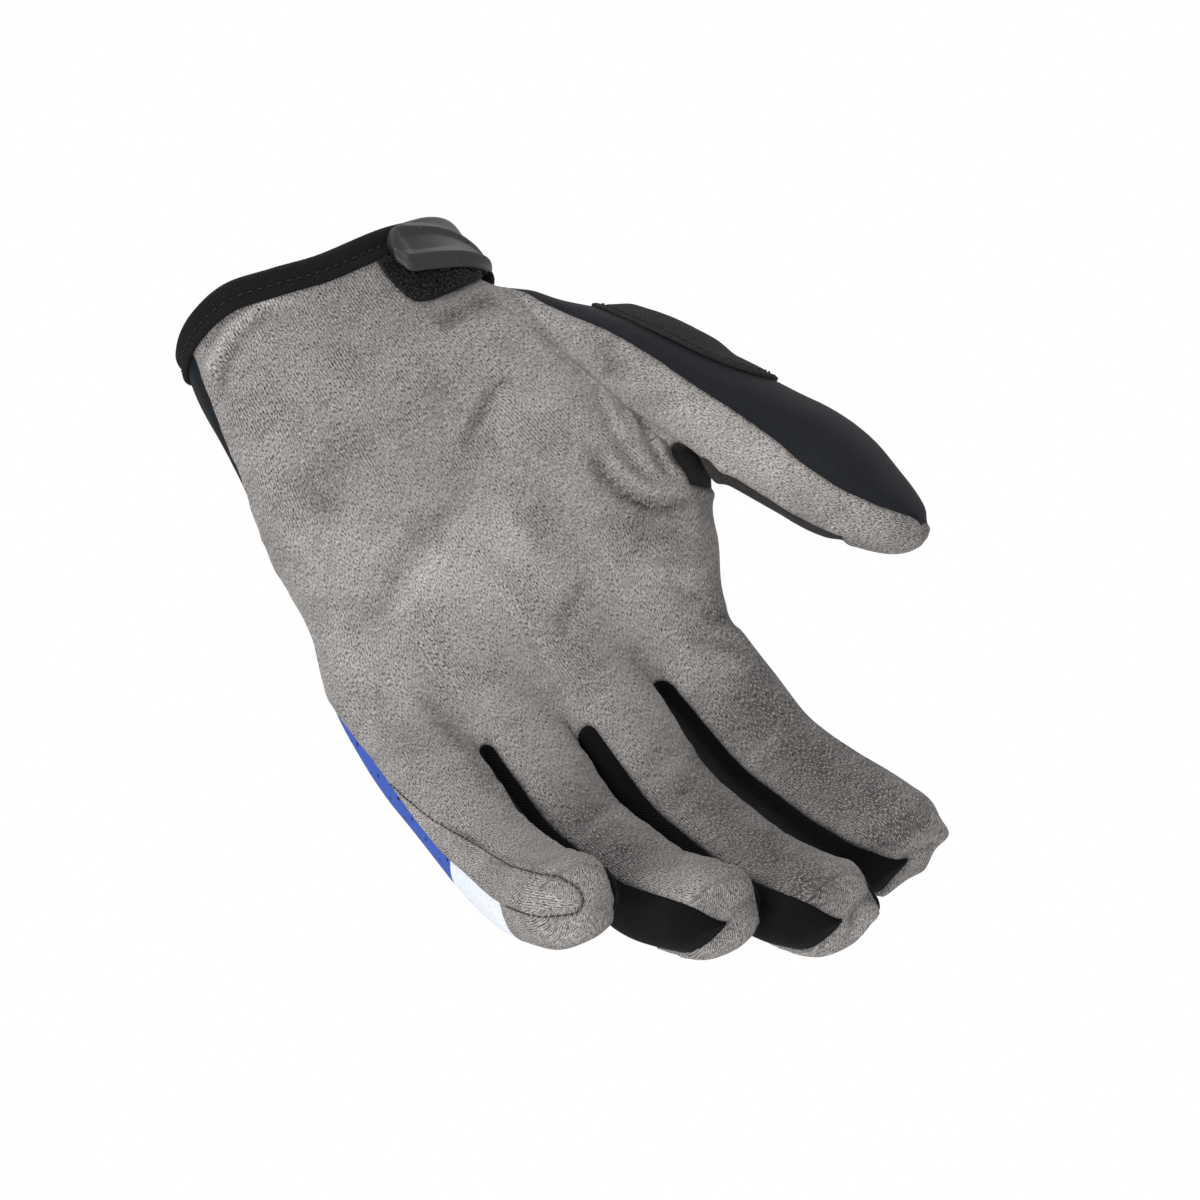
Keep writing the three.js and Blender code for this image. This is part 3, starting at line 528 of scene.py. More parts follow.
def over_tip(depth, count, power):
    """Distances from the tip, closer together towards it."""
    return depth * (1 - steps(count)) ** power


def near_tip(name):
    """Stations from the edge of the hood to the end of the side strips, closer together towards the tip."""
    return length_of(name) - lerp(HOOD["back"], HOOD["side"], np.sin(math.pi / 2 * steps(CELLS["near"])))


def hand_patches(add):
    """Palm and back from the hem down to the ends of the slots, columns, webs and the outer side."""
    def span(panel, us, place, angles, ends):
        add(panel, us, UPPER_ROWS, lambda u, v: place(u, upper(lerp(*angles, u), v)))
        add(panel, us, ROOT_ROWS, lambda u, v: place(u, lerp(SLOT["thumb"], lerp(*ends, u), v)))
    ulnar_top = along(ULNAR_SEAM, 0.0)[0]
    for name in FRONT:
        span(PALM_FACE, steps(CELLS["column"]), column(name), FRONT[name]["palm"], ENDS[name])
    span(PALM_FACE, steps(CELLS["side"]), ulnar_side, (ulnar_top, FRONT["little"]["palm"][0]),
         (SLOT["ulnar"],) * 2)
    for name in BACK:
        span(BACK_FACE, steps(CELLS["back"]), behind(name), BACK[name]["palm"], ENDS[name][::-1])
    span(BACK_FACE, steps(CELLS["back_little"]), behind("little"), (BACK_LITTLE, 360 + ulnar_top),
         ENDS["little"][::-1])
    for gap in SLOTS:
        left, right, arc = gap["left"], gap["right"], gap["saddle"]
        for panel, side, edges, end in (
                (PALM_FACE, "front", (column(left), column(right)), lambda u, f=arc: f(u, 0.0 * u)),
                (BACK_FACE, "back", (behind(right), behind(left)), lambda u, f=arc: f(1 - u, 0.0 * u + 1))):
            web = between(lambda t, e=edges: e[0](1.0, t), lambda t, e=edges: e[1](0.0, t),
                          lambda t, g=gap, k=side: g[k])
            add(panel, ROUND_WEB, UPPER_ROWS,
                lambda u, v, g=gap, k=side, f=web: f(u, upper(lerp(*g[k], u), v)))
            add(panel, ROUND_WEB, ROOT_ROWS, to_arc(web, lambda u: SLOT["thumb"] + 0 * u, gap["end"], end))


def thumb_patches(add):
    """Cloth that joins the thumb to the hand, the thumb itself and the strip of dark suede in its crotch."""
    total = length_of("thumb")
    crossing = (SLOT["thumb"] - DIGITS["thumb"]["start"]) * slant("thumb")
    side = total - HOOD["thumb_side"]
    shaft = lerp(crossing, side, steps(CELLS["shaft"]))
    near = lerp(side, total - HOOD["thumb_tip"], steps(CELLS["thumb_near"]))
    cap = total - over_tip(HOOD["thumb_tip"], CELLS["cap"], 2.0)
    tops = (float(parting(0)), float(beside_parting(0)), float(along(THUMB_OUTER_SEAM, 0.0)[0]))
    front, inner, rear = (steps(CELLS[n]) for n in ("thumb_front", "thumb_inner", "thumb_rear"))

    def at(place):
        return lambda u, s: place(u, reach("thumb", s))
    add(PALM_FACE, ROUND_WEB, UPPER_ROWS, to_arc(
        join_front, lambda u: upper(lerp(*tops[:2], u), 0), SLOT["thumb"], lambda u: crotch(u, 0 * u)))
    add(BACK_FACE, ROUND_WEB, UPPER_ROWS, to_arc(
        join_back, lambda u: upper(lerp(THUMB_BACK["palm"], RADIAL["palm"], u), 0), SLOT["thumb"],
        lambda u: crotch(1 - u, 0 * u + 1)))
    add(PALM_FACE, front, UPPER_ROWS, lambda u, v: thumb_front(u, upper(lerp(*tops[1:], u), v)))
    add(THUMB_FACE, rear, UPPER_ROWS,
        lambda u, v: thumb_rear(u, upper(lerp(tops[2], THUMB_BACK["palm"], u), v)))
    add(PALM_FACE, front, shaft, at(thumb_front))
    add(CROTCH_FACE, inner, shaft, at(thumb_inner))
    add(THUMB_FACE, rear, shaft, at(thumb_rear))
    add(CROTCH_FACE, ROUND_WEB, inner, lambda q, w: crotch(q, w))
    for rows in (near, cap):
        add(PALM_FACE, front, rows, at(thumb_front))
        add(PALM_FACE, inner, rows, at(thumb_inner))
        add(THUMB_FACE if rows is near else PALM_FACE, rear, rows, at(thumb_rear))
    first = ROOT_ROWS[ROOT_ROWS <= CROTCH["share"]]
    add(CROTCH_FACE, inner, first, lambda w, v: radial_side(w, lerp(SLOT["thumb"], SLOT["middle"], v)))
    rest = ROOT_ROWS[ROOT_ROWS >= first[-1]]
    add(PALM_FACE, inner, rest, lambda w, v: radial_side(w, lerp(SLOT["thumb"], SLOT["middle"], v)))


def finger_patches(add):
    """Fingers beyond their slots: suede front and tip, knit back, ribbed side strips and the webs between
    them."""
    inner = steps(CELLS["thumb_inner"])
    for name in FRONT:
        total, ends = length_of(name), ENDS[name]
        near = near_tip(name)
        cap = total - over_tip(HOOD["side"], CELLS["finger_cap"], 1.2)
        front = steps(CELLS["column"])
        rear = steps(CELLS["back_little"] if name == "little" else CELLS["back"])

        def edge(angle, s, side, n=name):
            return lerp(STRIP["end"], angle, taper(n, s, side))

        def face(u, s, n=name, e=edge):
            left = FRONT[n]["digit"][0] if n == "little" else -e(STRIP["from"], s, "ulnar_tip")
            right = FRONT[n]["digit"][1] if n == "index" else e(STRIP["from"], s, "radial_tip")
            return gloved(n, 0, lerp(left, right, u), reach(n, s))

        def hood(u, s, n=name, e=edge):
            wide = strip_to(n, reach(n, s))
            right = RADIAL["digit"] if n == "index" else e(wide, s, "radial_tip")
            left = along(ULNAR_SEAM, reach(n, s))[1] if n == "little" else -e(wide, s, "ulnar_tip")
            return gloved(n, 0, lerp(right, 360 + left, u), reach(n, s))
        add(PALM_FACE, front, FINGER_ROWS,
            lambda u, v, n=name, e=ends: column(n)(u, row_at(n, lerp(*e, u), v)))
        add(BACK_FACE, rear, FINGER_ROWS,
            lambda u, v, n=name, e=ends[::-1]: behind(n)(u, row_at(n, lerp(*e, u), v)))
        for rows in (near, cap):
            add(PALM_FACE, front, rows, face)
            add(PALM_FACE, rear, rows, hood)
        flank = {"index": (radial_side, inner, 1), "little": (ulnar_side, steps(CELLS["side"]), 0)}.get(name)
        if flank:
            place, us, k = flank
            add(PALM_FACE, us, FINGER_ROWS, lambda u, v, n=name, e=ends[k], f=place: f(u, row_at(n, e, v)))
            for rows in (near, cap):
                add(PALM_FACE, us, rows, lambda u, s, n=name, f=place: f(u, reach(n, s)))
    wall = steps(CELLS["wall"])
    for gap in SLOTS:
        panel = f"{gap['left']}_{gap['right']}"
        for side, which, tip, flip in (("a", "left", "radial_tip", False), ("b", "right", "ulnar_tip", True)):
            name = gap[which]
            near = near_tip(name)
            add(panel, wall, FINGER_ROWS,
                lambda w, v, g=gap, k=side, n=name: g[k](w, row_at(n, g["end"], v)), flip)
            add(panel, wall, near,
                lambda w, s, g=gap, k=side, n=name, e=tip: g[k](w, reach(n, s), taper(n, s, e)),
                flip)
        add(panel, ROUND_WEB, wall, lambda q, w, g=gap: g["saddle"](q, w))


# How the photograph looks at the glove: the lens axis, the picture's right and up, and the picture plane's
# own frame
VIEW = {"target": (10.22, 0.0, -96.09), "distance": 900.0, "right": (0.80266, -0.16649, -0.57274),
        "up": (0.48354, -0.38054, 0.78831), "back": (-0.34919, -0.90965, -0.22495), "focal": 4140.0,
        "side": 1200}
PLANE = {"origin": (335.0, 285.0), "scale": 4.4, "turn": 36.0}

# Creases of the suede in the picture plane: height, half width, then points across the hand and down it
CREASES = [
    (1.00, 1.5, [(-37.7, 1.1), (-34.2, -1.2), (-29.3, -3.7), (-25, -5.5), (-19.7, -5.9), (-15.1, -5.6),
                 (-8.6, -4.5)]),
    (-0.45, 1.1, [(-37.6, 7.3), (-34.2, 3.1), (-30, -0.6), (-24.9, -3), (-19.4, -3.9), (-13.7, -3.4)]),
    (-0.36, 1.4, [(-33, -6), (-30.9, -7.3), (-26.5, -8.4), (-22.2, -8.4), (-17.6, -8)]),
    (-0.60, 2.6, [(12.5, 21.8), (16.6, 21.1), (21.3, 21.4), (25.3, 22.6), (30, 26)]),
    (-0.65, 1.5, [(21, 38), (19.7, 39), (15.2, 40.5), (10.4, 42.4), (4.6, 45.7), (0.3, 48)]),
    (0.50, 3.0, [(20.5, 42.6), (14.9, 46.7), (11.8, 53.6)]),
    (-0.60, 2.6, [(0.8, 56.6), (-6.2, 56.9), (-13.1, 58), (-21, 60.4), (-29.3, 63.3), (-36.8, 65.3),
                  (-43.5, 67.9)]),
    (0.55, 3.4, [(-1, 61.5), (-12, 63.5), (-22, 66.5), (-34, 71)]),
    (-0.50, 2.2, [(11, 86.5), (8.9, 87.6), (4.7, 88.7), (-0.7, 91.5), (-6.1, 95.1)]),
    (-0.80, 1.4, [(25.5, 62), (24.8, 65.8), (24.1, 71.4), (25.4, 77.1), (27.9, 82), (32.2, 85.5),
                  (37.2, 87.1), (41.5, 86.5)]),
    (0.42, 1.3, [(28.4, 66), (28.2, 72), (29.6, 77.5), (32, 81), (36, 83.8), (40, 84.2)]),
    (-0.45, 1.1, [(35.2, 52.3), (33.4, 55.7), (32.2, 60.3), (31.3, 67.1), (31.2, 73.8), (32, 79.2)]),
    (0.39, 1.0, [(36.5, 53.9), (34.4, 59.1), (33.3, 66.2), (33.4, 72.7), (34.3, 78.9), (36.6, 83.2)]),
    (-0.48, 0.95, [(40.3, 60.8), (38.3, 65.4), (37, 70.6), (36.1, 75.4), (36.3, 79.9)]),
    (0.30, 0.9, [(39.9, 57.1), (37.8, 62.3), (35.8, 68.4), (35.2, 73.6), (35.2, 78.1)]),
    (0.36, 0.9, [(39.4, 71), (38, 74.7), (37.5, 79.1), (38.1, 83)]),
    (-0.36, 0.8, [(40.9, 72.1), (39, 76.1), (38.6, 79.8)]),
    (-0.35, 2.4, [(41.4, 44), (40.6, 50), (39, 55)]),
    (0.36, 1.4, [(9.2, 117.1), (13.7, 117.6), (18.7, 118.2), (23, 120.7), (25.4, 124.8)]),
    (-0.55, 1.8, [(17, 112.5), (20.2, 114.2), (24.2, 117.1), (26.8, 121.1)]),
    (-0.45, 2.2, [(20.5, 98), (22.4, 100.9), (23.9, 105.3), (24, 108)]),
    (-0.50, 2.0, [(22.5, 109.5), (24.8, 110.7), (28.5, 114.1), (30.5, 117)]),
    (0.36, 1.3, [(8.6, 123), (9.6, 121.5), (14, 121), (18.8, 121.8), (22.7, 124), (25.9, 128.1)]),
    (0.32, 1.4, [(9.9, 144.2), (14.7, 142.6), (20.3, 141.7), (24.8, 141.4)]),
    (-0.28, 1.2, [(11.5, 147), (13.4, 146.3), (18.6, 145.1), (23.6, 145.1)]),
    (0.27, 1.1, [(-10.6, 137.9), (-6, 135.5), (-1.3, 133.9), (2.8, 134.3)]),
    (-0.36, 1.3, [(-10.7, 132.1), (-5.9, 130.5), (-1.8, 130.7), (3, 131.5)]),
    (0.24, 1.1, [(-10.2, 145.3), (-6.4, 143.1), (-2.4, 142.4), (1.9, 143.4)]),
    (-0.28, 1.2, [(-10.5, 141.6), (-6, 139.5), (-1.5, 138.6), (3, 139.3)]),
    (0.24, 1.1, [(-13, 134.8), (-8.9, 134.6), (-3.9, 134.3)]),
    (0.27, 1.1, [(-29.8, 135.2), (-25.9, 134.1), (-21.3, 134.3), (-17.4, 135.5)]),
    (-0.36, 1.2, [(-29.4, 132.4), (-25.4, 131.3), (-20.8, 131.5), (-17, 132.5)]),
    (0.24, 1.1, [(-29.5, 140.2), (-24.5, 139.9), (-19.3, 141.3)]),
    (-0.33, 0.9, [(26.9, 181.5), (30.3, 181.8), (34.6, 182.8), (38.9, 183.4)]),
    (0.27, 0.8, [(29.7, 179.8), (34.2, 179.6), (39, 180.6)]),
    (-0.33, 0.9, [(25.3, 178.3), (29.8, 177.6), (34.4, 177.6), (39, 178)]),
    (-0.64, 1.2, [(8.5, 187), (11, 185.6), (13.8, 184.3), (16.7, 184.2), (19.2, 184.7)]),
    (0.48, 1.2, [(8.5, 190), (10.6, 188.4), (13.1, 188.1), (16.8, 187.9)]),
    (-0.48, 1.1, [(-14, 171.5), (-11.4, 169.9), (-7.8, 168.6), (-4.4, 168.9), (-2.2, 169.8)]),
    (0.36, 1.1, [(-14, 174.5), (-12.5, 173.3), (-9.9, 172.9), (-6.2, 172.7)]),
    (-0.40, 2.0, [(64, 107.4), (63, 111.7)]),
]

# Sewing line of the little finger's overlay in the picture plane
OVERLAY_SEAM = [(-56.8, 98.6), (-55.8, 103.3), (-54.7, 107.8), (-53.5, 111.2), (-51.7, 114.7),
                (-49.5, 118.9), (-48.2, 122.0), (-46.9, 126.3), (-45.1, 129.9), (-42.9, 132.9),
                (-40.6, 135.8), (-38.1, 138.5), (-36.9, 140.9), (-36.1, 143.3), (-36.0, 145.2),
                (-36.9, 146.7), (-38.6, 147.7), (-40.3, 147.6), (-43.4, 145.7), (-46.4, 143.9),
                (-49.1, 141.5), (-51.0, 139.1), (-52.4, 136.9)]

# Lines in the picture plane where the cloth spans the dip between two finger roots
SPANS = [[(8, 84), (6.8, 105), (6.1, 115)], [(-10.6, 76), (-12.6, 100), (-14, 114)],
         [(-30.8, 74), (-32.7, 94), (-34.1, 104)], [(31, 38), (35, 47), (38.2, 62)]]

# Half breadth of those spans, how far their share reaches, and the pull of each of the rounds that
# straighten them
SPAN = {"half": 7.0, "reach": 1.2, "pull": 0.8, "rounds": 130}

# Where the worn cloth has shifted in the picture plane: a place, its breadth each way, and the shift
NUDGES = [
    ((36, 188), (5.5, 3.6), (0, -2.6)), ((24.5, 187.5), (5, 3.2), (1.2, -1.6)),
    ((39.5, 182.5), (3, 3), (1.5, 1.0)), ((16.2, 187.4), (2.5, 3), (2.0, 1.5)),
    ((44, 176), (3.5, 5.0), (1.2, 0.8)), ((37, 160), (5, 12), (0.9, 0)), ((46, 108), (6, 10), (2.0, 0)),
    ((43, 90), (3.5, 6), (-1.3, 0)), ((43.5, 86), (3.0, 2.6), (-1.2, 1.8)), ((41, 96), (4, 7), (-1.6, -0.6)),
    ((-44, 62), (6, 16), (1.0, 0)), ((-62, 122), (6, 18), (1.1, 0)),
]

# Strokes of painted light and shade in the picture plane, partly brushing of the nap, laid like the
# creases: painted highlights along creases and on the thumb, painted shade beside creases and over the
# index and middle fingers. Each: how light, half width, then points
PAINTED_LIGHT_AND_NAP = [
    (0.35, 1.4, [(-44.5, 12), (-43.8, 22), (-42.5, 36), (-41, 50), (-38, 60)]),
    (0.90, 1.1, [(-17, -4.6), (-9, -3), (-2, -2), (4, -1.2)]),
    (-0.45, 0.8, [(-39, 7), (-31, 0), (-21, -3.6), (-11, -3.9)]),
    (0.90, 1.2, [(-38, 1.5), (-34, -1), (-25, -5.3), (-15, -5.4), (-8, -4.4)]),
    (-0.55, 2.2, [(11, 21.5), (20, 22), (30, 23)]),
    (-0.35, 3.8, [(3, 28), (6, 35), (4, 42)]),
    (-0.40, 4.0, [(-33, 30), (-31, 37), (-29, 44)]),
    (0.45, 1.0, [(-20, 38), (-10, 35.5), (2, 34.8)]),
    (-0.60, 1.0, [(20, 38), (18, 40.5), (12, 42), (5, 46.5)]),
    (-0.25, 1.6, [(8, 45), (-10, 53), (-20, 57), (-31, 62.5)]),
    (0.35, 5.0, [(6, 46), (16, 50), (29, 47)]),
    (0.35, 4.0, [(-33, 42), (-32, 50), (-31, 58)]),
    (1.30, 6.5, [(-28, 68), (-14, 67), (-2, 67), (6, 70)]),
    (0.80, 9.0, [(-20, 76), (-8, 78), (3, 78)]),
    (-0.40, 2.6, [(41.6, 42), (40.6, 49), (38.8, 57)]),
    (0.80, 5.0, [(46, 62), (50, 76), (54, 90), (58, 100)]),
    (-0.45, 4.5, [(24, 62), (22, 72), (23, 82), (28, 90)]),
    (-0.35, 5.5, [(26, 78), (28, 90), (27, 102)]),
    (-0.20, 3.5, [(-10, 92), (-2, 91.5), (8, 90)]),
    (-0.55, 1.7, [(-39, 84), (-38.6, 96), (-38.2, 112)]),
    (0.40, 4.0, [(-47, 96), (-46, 112), (-45, 128)]),
    (-1.45, 9.5, [(18, 122), (24, 142), (29, 160), (34, 186)]),
    (-0.65, 9.0, [(30, 100), (27, 116), (28, 134)]),
    (0.35, 3.0, [(12, 113), (20, 115), (28, 120)]),
    (-0.45, 1.6, [(15, 117.5), (22, 118.4), (28, 123)]),
    (-1.25, 7.0, [(-4, 130), (0, 148), (4, 164), (12, 184)]),
    (0.50, 1.6, [(9, 188), (13, 187.6), (17, 186.5)]),
    (-0.85, 7.0, [(-26, 124), (-23, 140), (-18, 150)]),
    (0.60, 5.0, [(-19, 155), (-11, 164), (-4, 170)]),
    (1.40, 6.5, [(-46, 134), (-44, 146), (-38, 154)]),
    (0.60, 5.0, [(60, 108), (64, 116), (67, 122)]),
]


def seeded(points, size, seed):
    """Smooth noise between -1 and 1: random values on a lattice of the given spacing, blended in all three
    directions."""
    lattice = np.random.default_rng(seed).uniform(-1, 1, (16, 16, 16))
    spot = np.asarray(points) / size
    cell = np.floor(spot).astype(int)
    f = smooth(spot - cell)
    out = np.zeros(spot.shape[:-1])
    for corner in np.ndindex(2, 2, 2):
        share = np.prod(np.where(corner, f, 1 - f), axis=-1)
        out += share * lattice[tuple(((cell + corner) % 16)[..., k] for k in range(3))]
    return out


def pictured(points):
    """Where points fall in the picture plane, in mm across the hand and down it, by the photograph's
    perspective."""
    q = points - np.array(VIEW["target"])
    depth = VIEW["distance"] - q @ np.array(VIEW["back"])
    middle = VIEW["side"] / 2
    px = middle + VIEW["focal"] * (q @ np.array(VIEW["right"])) / depth
    py = middle - VIEW["focal"] * (q @ np.array(VIEW["up"])) / depth
    x, y = (px - PLANE["origin"][0]) / PLANE["scale"], (py - PLANE["origin"][1]) / PLANE["scale"]
    c, s = math.cos(math.radians(PLANE["turn"])), math.sin(math.radians(PLANE["turn"]))
    return np.stack((x * c - y * s, x * s + y * c), axis=-1)


def nudged(points):
    """Points moved within the picture plane, each by a bell-shaped share of the shifts near it."""
    right, up = np.array(VIEW["right"]), np.array(VIEW["up"])
    c, s = math.cos(math.radians(PLANE["turn"])), math.sin(math.radians(PLANE["turn"]))
    spots = pictured(points)
    shift = sum(np.exp(-(((spots - spot) / size) ** 2).sum(axis=-1))[:, None] * np.array(way)
                for spot, size, way in NUDGES)
    return points + shift[:, :1] * (right * c + up * s) + shift[:, 1:] * (right * s - up * c)


def crease_height(spots, height, half, path):
    """Round fold along a path: a bell curve of the distance from it, fading out over the last fifth at each
    end."""
    path = np.asarray(path, float)
    run = run_along(path)
    best, place = np.full(len(spots), 1e9), np.zeros(len(spots))
    for a, b, start in zip(path, path[1:], run):
        way = b - a
        f = np.clip((spots - a) @ way / (way @ way), 0, 1)
        d = np.linalg.norm(spots - a - f[:, None] * way, axis=1)
        nearer = d < best
        best = np.where(nearer, d, best)
        place = np.where(nearer, (start + f * np.linalg.norm(way)) / run[-1], place)
    return height * bell(best, 0, half) * smooth(place / 0.2) * smooth((1 - place) / 0.2)


def unit(vectors):
    """Vectors of length one."""
    return vectors / np.maximum(np.linalg.norm(vectors, axis=-1, keepdims=True), 1e-12)


def cells(ids):
    """Faces of grids of point numbers, whose columns go round and whose rows go down, seen from outside."""
    return np.stack((ids[..., :-1, :-1], ids[..., 1:, :-1], ids[..., 1:, 1:], ids[..., :-1, 1:]),
                    -1).reshape(-1, 4)


def edges_of(faces):
    """Directed edges of faces, without those that a repeated corner leaves empty."""
    edges = np.stack((faces, np.roll(faces, -1, axis=1)), axis=-1).reshape(-1, 2)
    return edges[edges[:, 0] != edges[:, 1]]


def open_edges(faces):
    """Directed edges that only one face has."""
    edges = edges_of(faces)
    key = edges.min(axis=1).astype(np.int64) * (faces.max() + 1) + edges.max(axis=1)
    _, back, count = np.unique(key, return_inverse=True, return_counts=True)
    return edges[count[back.reshape(-1)] == 1]


def neighbours(faces, total, most=8):
    """Table of up to eight neighbours of each point. A point with fewer is its own neighbour in the rest."""
    edges = edges_of(faces)
    edges = np.unique(np.vstack((edges, edges[:, ::-1])), axis=0)
    first = np.searchsorted(edges[:, 0], np.arange(total))
    rank = np.arange(len(edges)) - first[edges[:, 0]]
    table = np.repeat(np.arange(total)[:, None], most, axis=1)
    kept = rank < most
    table[edges[kept, 0], rank[kept]] = edges[kept, 1]
    return table


def spread_from(start, points, table, rounds):
    """Shortest way along the cloth from the starting points, and which of them it starts from, found round
    by round."""
    length = np.linalg.norm(points[table] - points[:, None], axis=-1)
    far = np.where(start, 0.0, 1e6)
    source = np.arange(len(points))
    rows = np.arange(len(points))
    for _ in range(rounds):
        ways = far[table] + length
        best = ways.argmin(axis=1)
        better = ways[rows, best] < far - 1e-9
        far = np.where(better, ways[rows, best], far)
        source = np.where(better, source[table[rows, best]], source)
    return far, source


def point_normals(points, faces):
    """Direction of the surface at each point: the sum of its faces' normals, each weighed by area."""
    a, b, c, d = (points[faces[:, k]] for k in range(4))
    normal = np.cross(c - a, d - b)
    return unit(np.stack([sum(np.bincount(faces[:, k], normal[:, axis], len(points)) for k in range(4))
                          for axis in range(3)], axis=-1))


def relaxed(points, table, held, rounds, pull=0.5, push=-0.52):
    """Evens the surface out: each point moves towards the mean of its neighbours, then almost as far back."""
    loose = ~held[:, None]
    for k in range(2 * rounds):
        points = points + loose * (push if k % 2 else pull) * (points[table].mean(axis=1) - points)
    return points


def spanned(points, table, palm):
    """Pulls the palm's cloth straight over the dips between the finger roots, by evening it out round by
    round."""
    near = np.flatnonzero(palm)
    spots = pictured(points[near])
    share = np.minimum(sum(crease_height(spots, SPAN["reach"], SPAN["half"], path) for path in SPANS), 1)
    near, share = near[share > 0.01], SPAN["pull"] * share[share > 0.01, None]
    for _ in range(SPAN["rounds"]):
        points[near] += share * (points[table[near]].mean(axis=1) - points[near])
    return points


# Rounds that even out the skin, that measure it from the hem to the tips, and that measure it from its seams
ROUNDS = {"even": 10, "length": 330, "seam": 14}
# Cloth beside its seams, in mm: half breadth of the groove and of the painted shade line along it, place
# and half breadth of the full edge, which is proud on the suede and lies under on the other cloths,
# breadth of a strip's swell, size, place and half breadth of the gathers, sizes of the slow waves, and the
# distance below the hem where all of it starts
SEWN = {"groove": 0.9, "dark": 0.8, "edge": (1.4, 1.3), "suede": 0.25, "other": -0.3, "swell": 4.0,
        "gather": 2.4, "gathers": (1.6, 1.7), "waves": (17.0, 7.0), "below_hem": 3.5}
# Sewing line of the overlay: half breadth, depth in the cloth, depth of the painted shade that darkens
# the nap along it, height and half breadth beside it
STITCHED = {"half": 0.6, "depth": 0.25, "dark": 1.4, "swell": 0.3, "swell_half": 1.6}


@functools.cache
def cloth():
    """The glove's outer skin in mm, welded from all its patches, evened out, then sewn and creased: points,
    normals, faces, the panel of each face, and for each corner of a face how far it lies across the cloth
    and along it."""
    form = bpy.context.scene.glove_form
    grids = []

    def add(panel, us, vs, place, flip=False):
        points = place(*np.meshgrid(us, vs))
        across = np.cumsum(np.linalg.norm(np.diff(points, axis=1, prepend=points[:, :1]), axis=-1), axis=1)
        middle = across[:, across.shape[1] // 2, None]
        grids.append((panel, points,
                      points[:, :1, 0] - across if panel == BACK_FACE else across - middle, flip))
    hand_patches(add)
    thumb_patches(add)
    finger_patches(add)
    faces, panels, first = [], [], 0
    for panel, points, _, flip in grids:
        ids = first + np.arange(points[..., 0].size).reshape(points.shape[:2])
        first += ids.size
        patch = cells(ids)
        faces.append(patch[:, ::-1] if flip else patch)
        panels.append(np.full(len(patch), PANELS.index(panel)))
    loose = np.vstack([points.reshape(-1, 3) for _, points, _, _ in grids])
    across = np.concatenate([grid[2].ravel() for grid in grids])
    faces, panels = np.vstack(faces), np.concatenate(panels)
    _, kept, weld = np.unique(np.round(loose / WELD).astype(np.int64), axis=0, return_index=True,
                              return_inverse=True)
    points, corners, faces = loose[kept], faces, weld.reshape(-1)[faces]
    whole = (faces != np.roll(faces, 1, axis=1)).sum(axis=1) > 2
    corners, faces, panels = corners[whole], faces[whole], panels[whole]
    table = neighbours(faces, len(points))
    hem = np.zeros(len(points), bool)
    hem[open_edges(faces)] = True
    palm = np.isin(np.arange(len(points)), faces[panels == PANELS.index(PALM_FACE)])
    points = nudged(spanned(relaxed(points, table, hem, ROUNDS["even"]), table, palm))
    run, _ = spread_from(hem, points, table, ROUNDS["length"])
    low, high = np.full(len(points), 99), np.full(len(points), -1)
    for k in range(4):
        np.minimum.at(low, faces[:, k], panels)
        np.maximum.at(high, faces[:, k], panels)
    away, source = spread_from(low != high, points, table, ROUNDS["seam"])
    normals = point_normals(points, faces)
    edge, gathers = sewn(points, away, points[source], low, form)
    folds, nap = creased(points, normals, low, form)
    rise = (edge + gathers + folds) * smooth((run - SEWN["below_hem"]) / 4)
    points = points + normals * rise[:, None]
    # look: fold is the height of the creases and gathers, which the suede paints as highlight on their ridges
    # and shade in their hollows; nap holds strokes of painted light and shade, partly brushing, and the
    # overlay line's painted shade; seam is painted shade along the seams
    return {"points": points, "normals": point_normals(points, faces), "faces": faces, "panels": panels,
            "weave": np.stack((across[corners], run[faces]), axis=-1),
            "look": {"fold": folds + 1.6 * gathers, "nap": nap, "seam": bell(away, 0, SEWN["dark"])}}


def sewn(points, away, seam, panel, form):
    """Height of the cloth beside a seam: a groove, a full suede edge that stands over the other cloth and
    strips that swell between their seams. Then the gathers, whose size changes along the seam."""
    depth, pucker = form.seam_depth / MM, form.pucker / MM
    groove = -depth * bell(away, 0, SEWN["groove"])
    ribbed_strip = panel > PANELS.index(CROTCH_FACE)
    proud = (np.where(panel == PANELS.index(PALM_FACE), SEWN["suede"], SEWN["other"])
             * bell(away, *SEWN["edge"]))
    swell = np.where(ribbed_strip, form.swell / MM * smooth(away / SEWN["swell"]), proud)
    slow, quick = SEWN["waves"]
    wave = form.wave / MM * (seeded(points, slow, 5) + 0.45 * seeded(points, quick, 6))
    gathers = pucker * seeded(seam, SEWN["gather"], 3) * bell(away, *SEWN["gathers"]) * ~ribbed_strip
    return groove + swell + wave, gathers


def creased(points, normals, panel, form):
    """Creases of the suede on the palm's side and the overlay's sewn line, and the painted light and shade
    that the suede's colour takes there: strokes of painted highlight and painted shade, partly brushing of
    the nap, and painted shade along the overlay's sewn line."""
    facing = smooth(-normals[:, 1] / 0.35)
    here = (facing > 0.01) & (panel == PANELS.index(PALM_FACE))
    spots = pictured(points[here])
    out = np.zeros((2, len(points)))
    # Row 0 is the creases' height; row 1 holds the strokes of painted light and shade, partly brushing of the
    # nap
    for row, table, share in ((0, CREASES, form.crease), (1, PAINTED_LIGHT_AND_NAP, form.nap)):
        out[row, here] = share * sum(crease_height(spots, *stroke) for stroke in table) * facing[here]
    # The overlay's sewn line: a groove in the cloth, and painted shade along it in the nap
    line, beside = (crease_height(spots, 1.0, STITCHED[key], OVERLAY_SEAM) for key in ("half", "swell_half"))
    out[:, here] -= np.array([[STITCHED["depth"]], [STITCHED["dark"]]]) * line * facing[here]
    out[0, here] += STITCHED["swell"] * beside * facing[here]
    return out


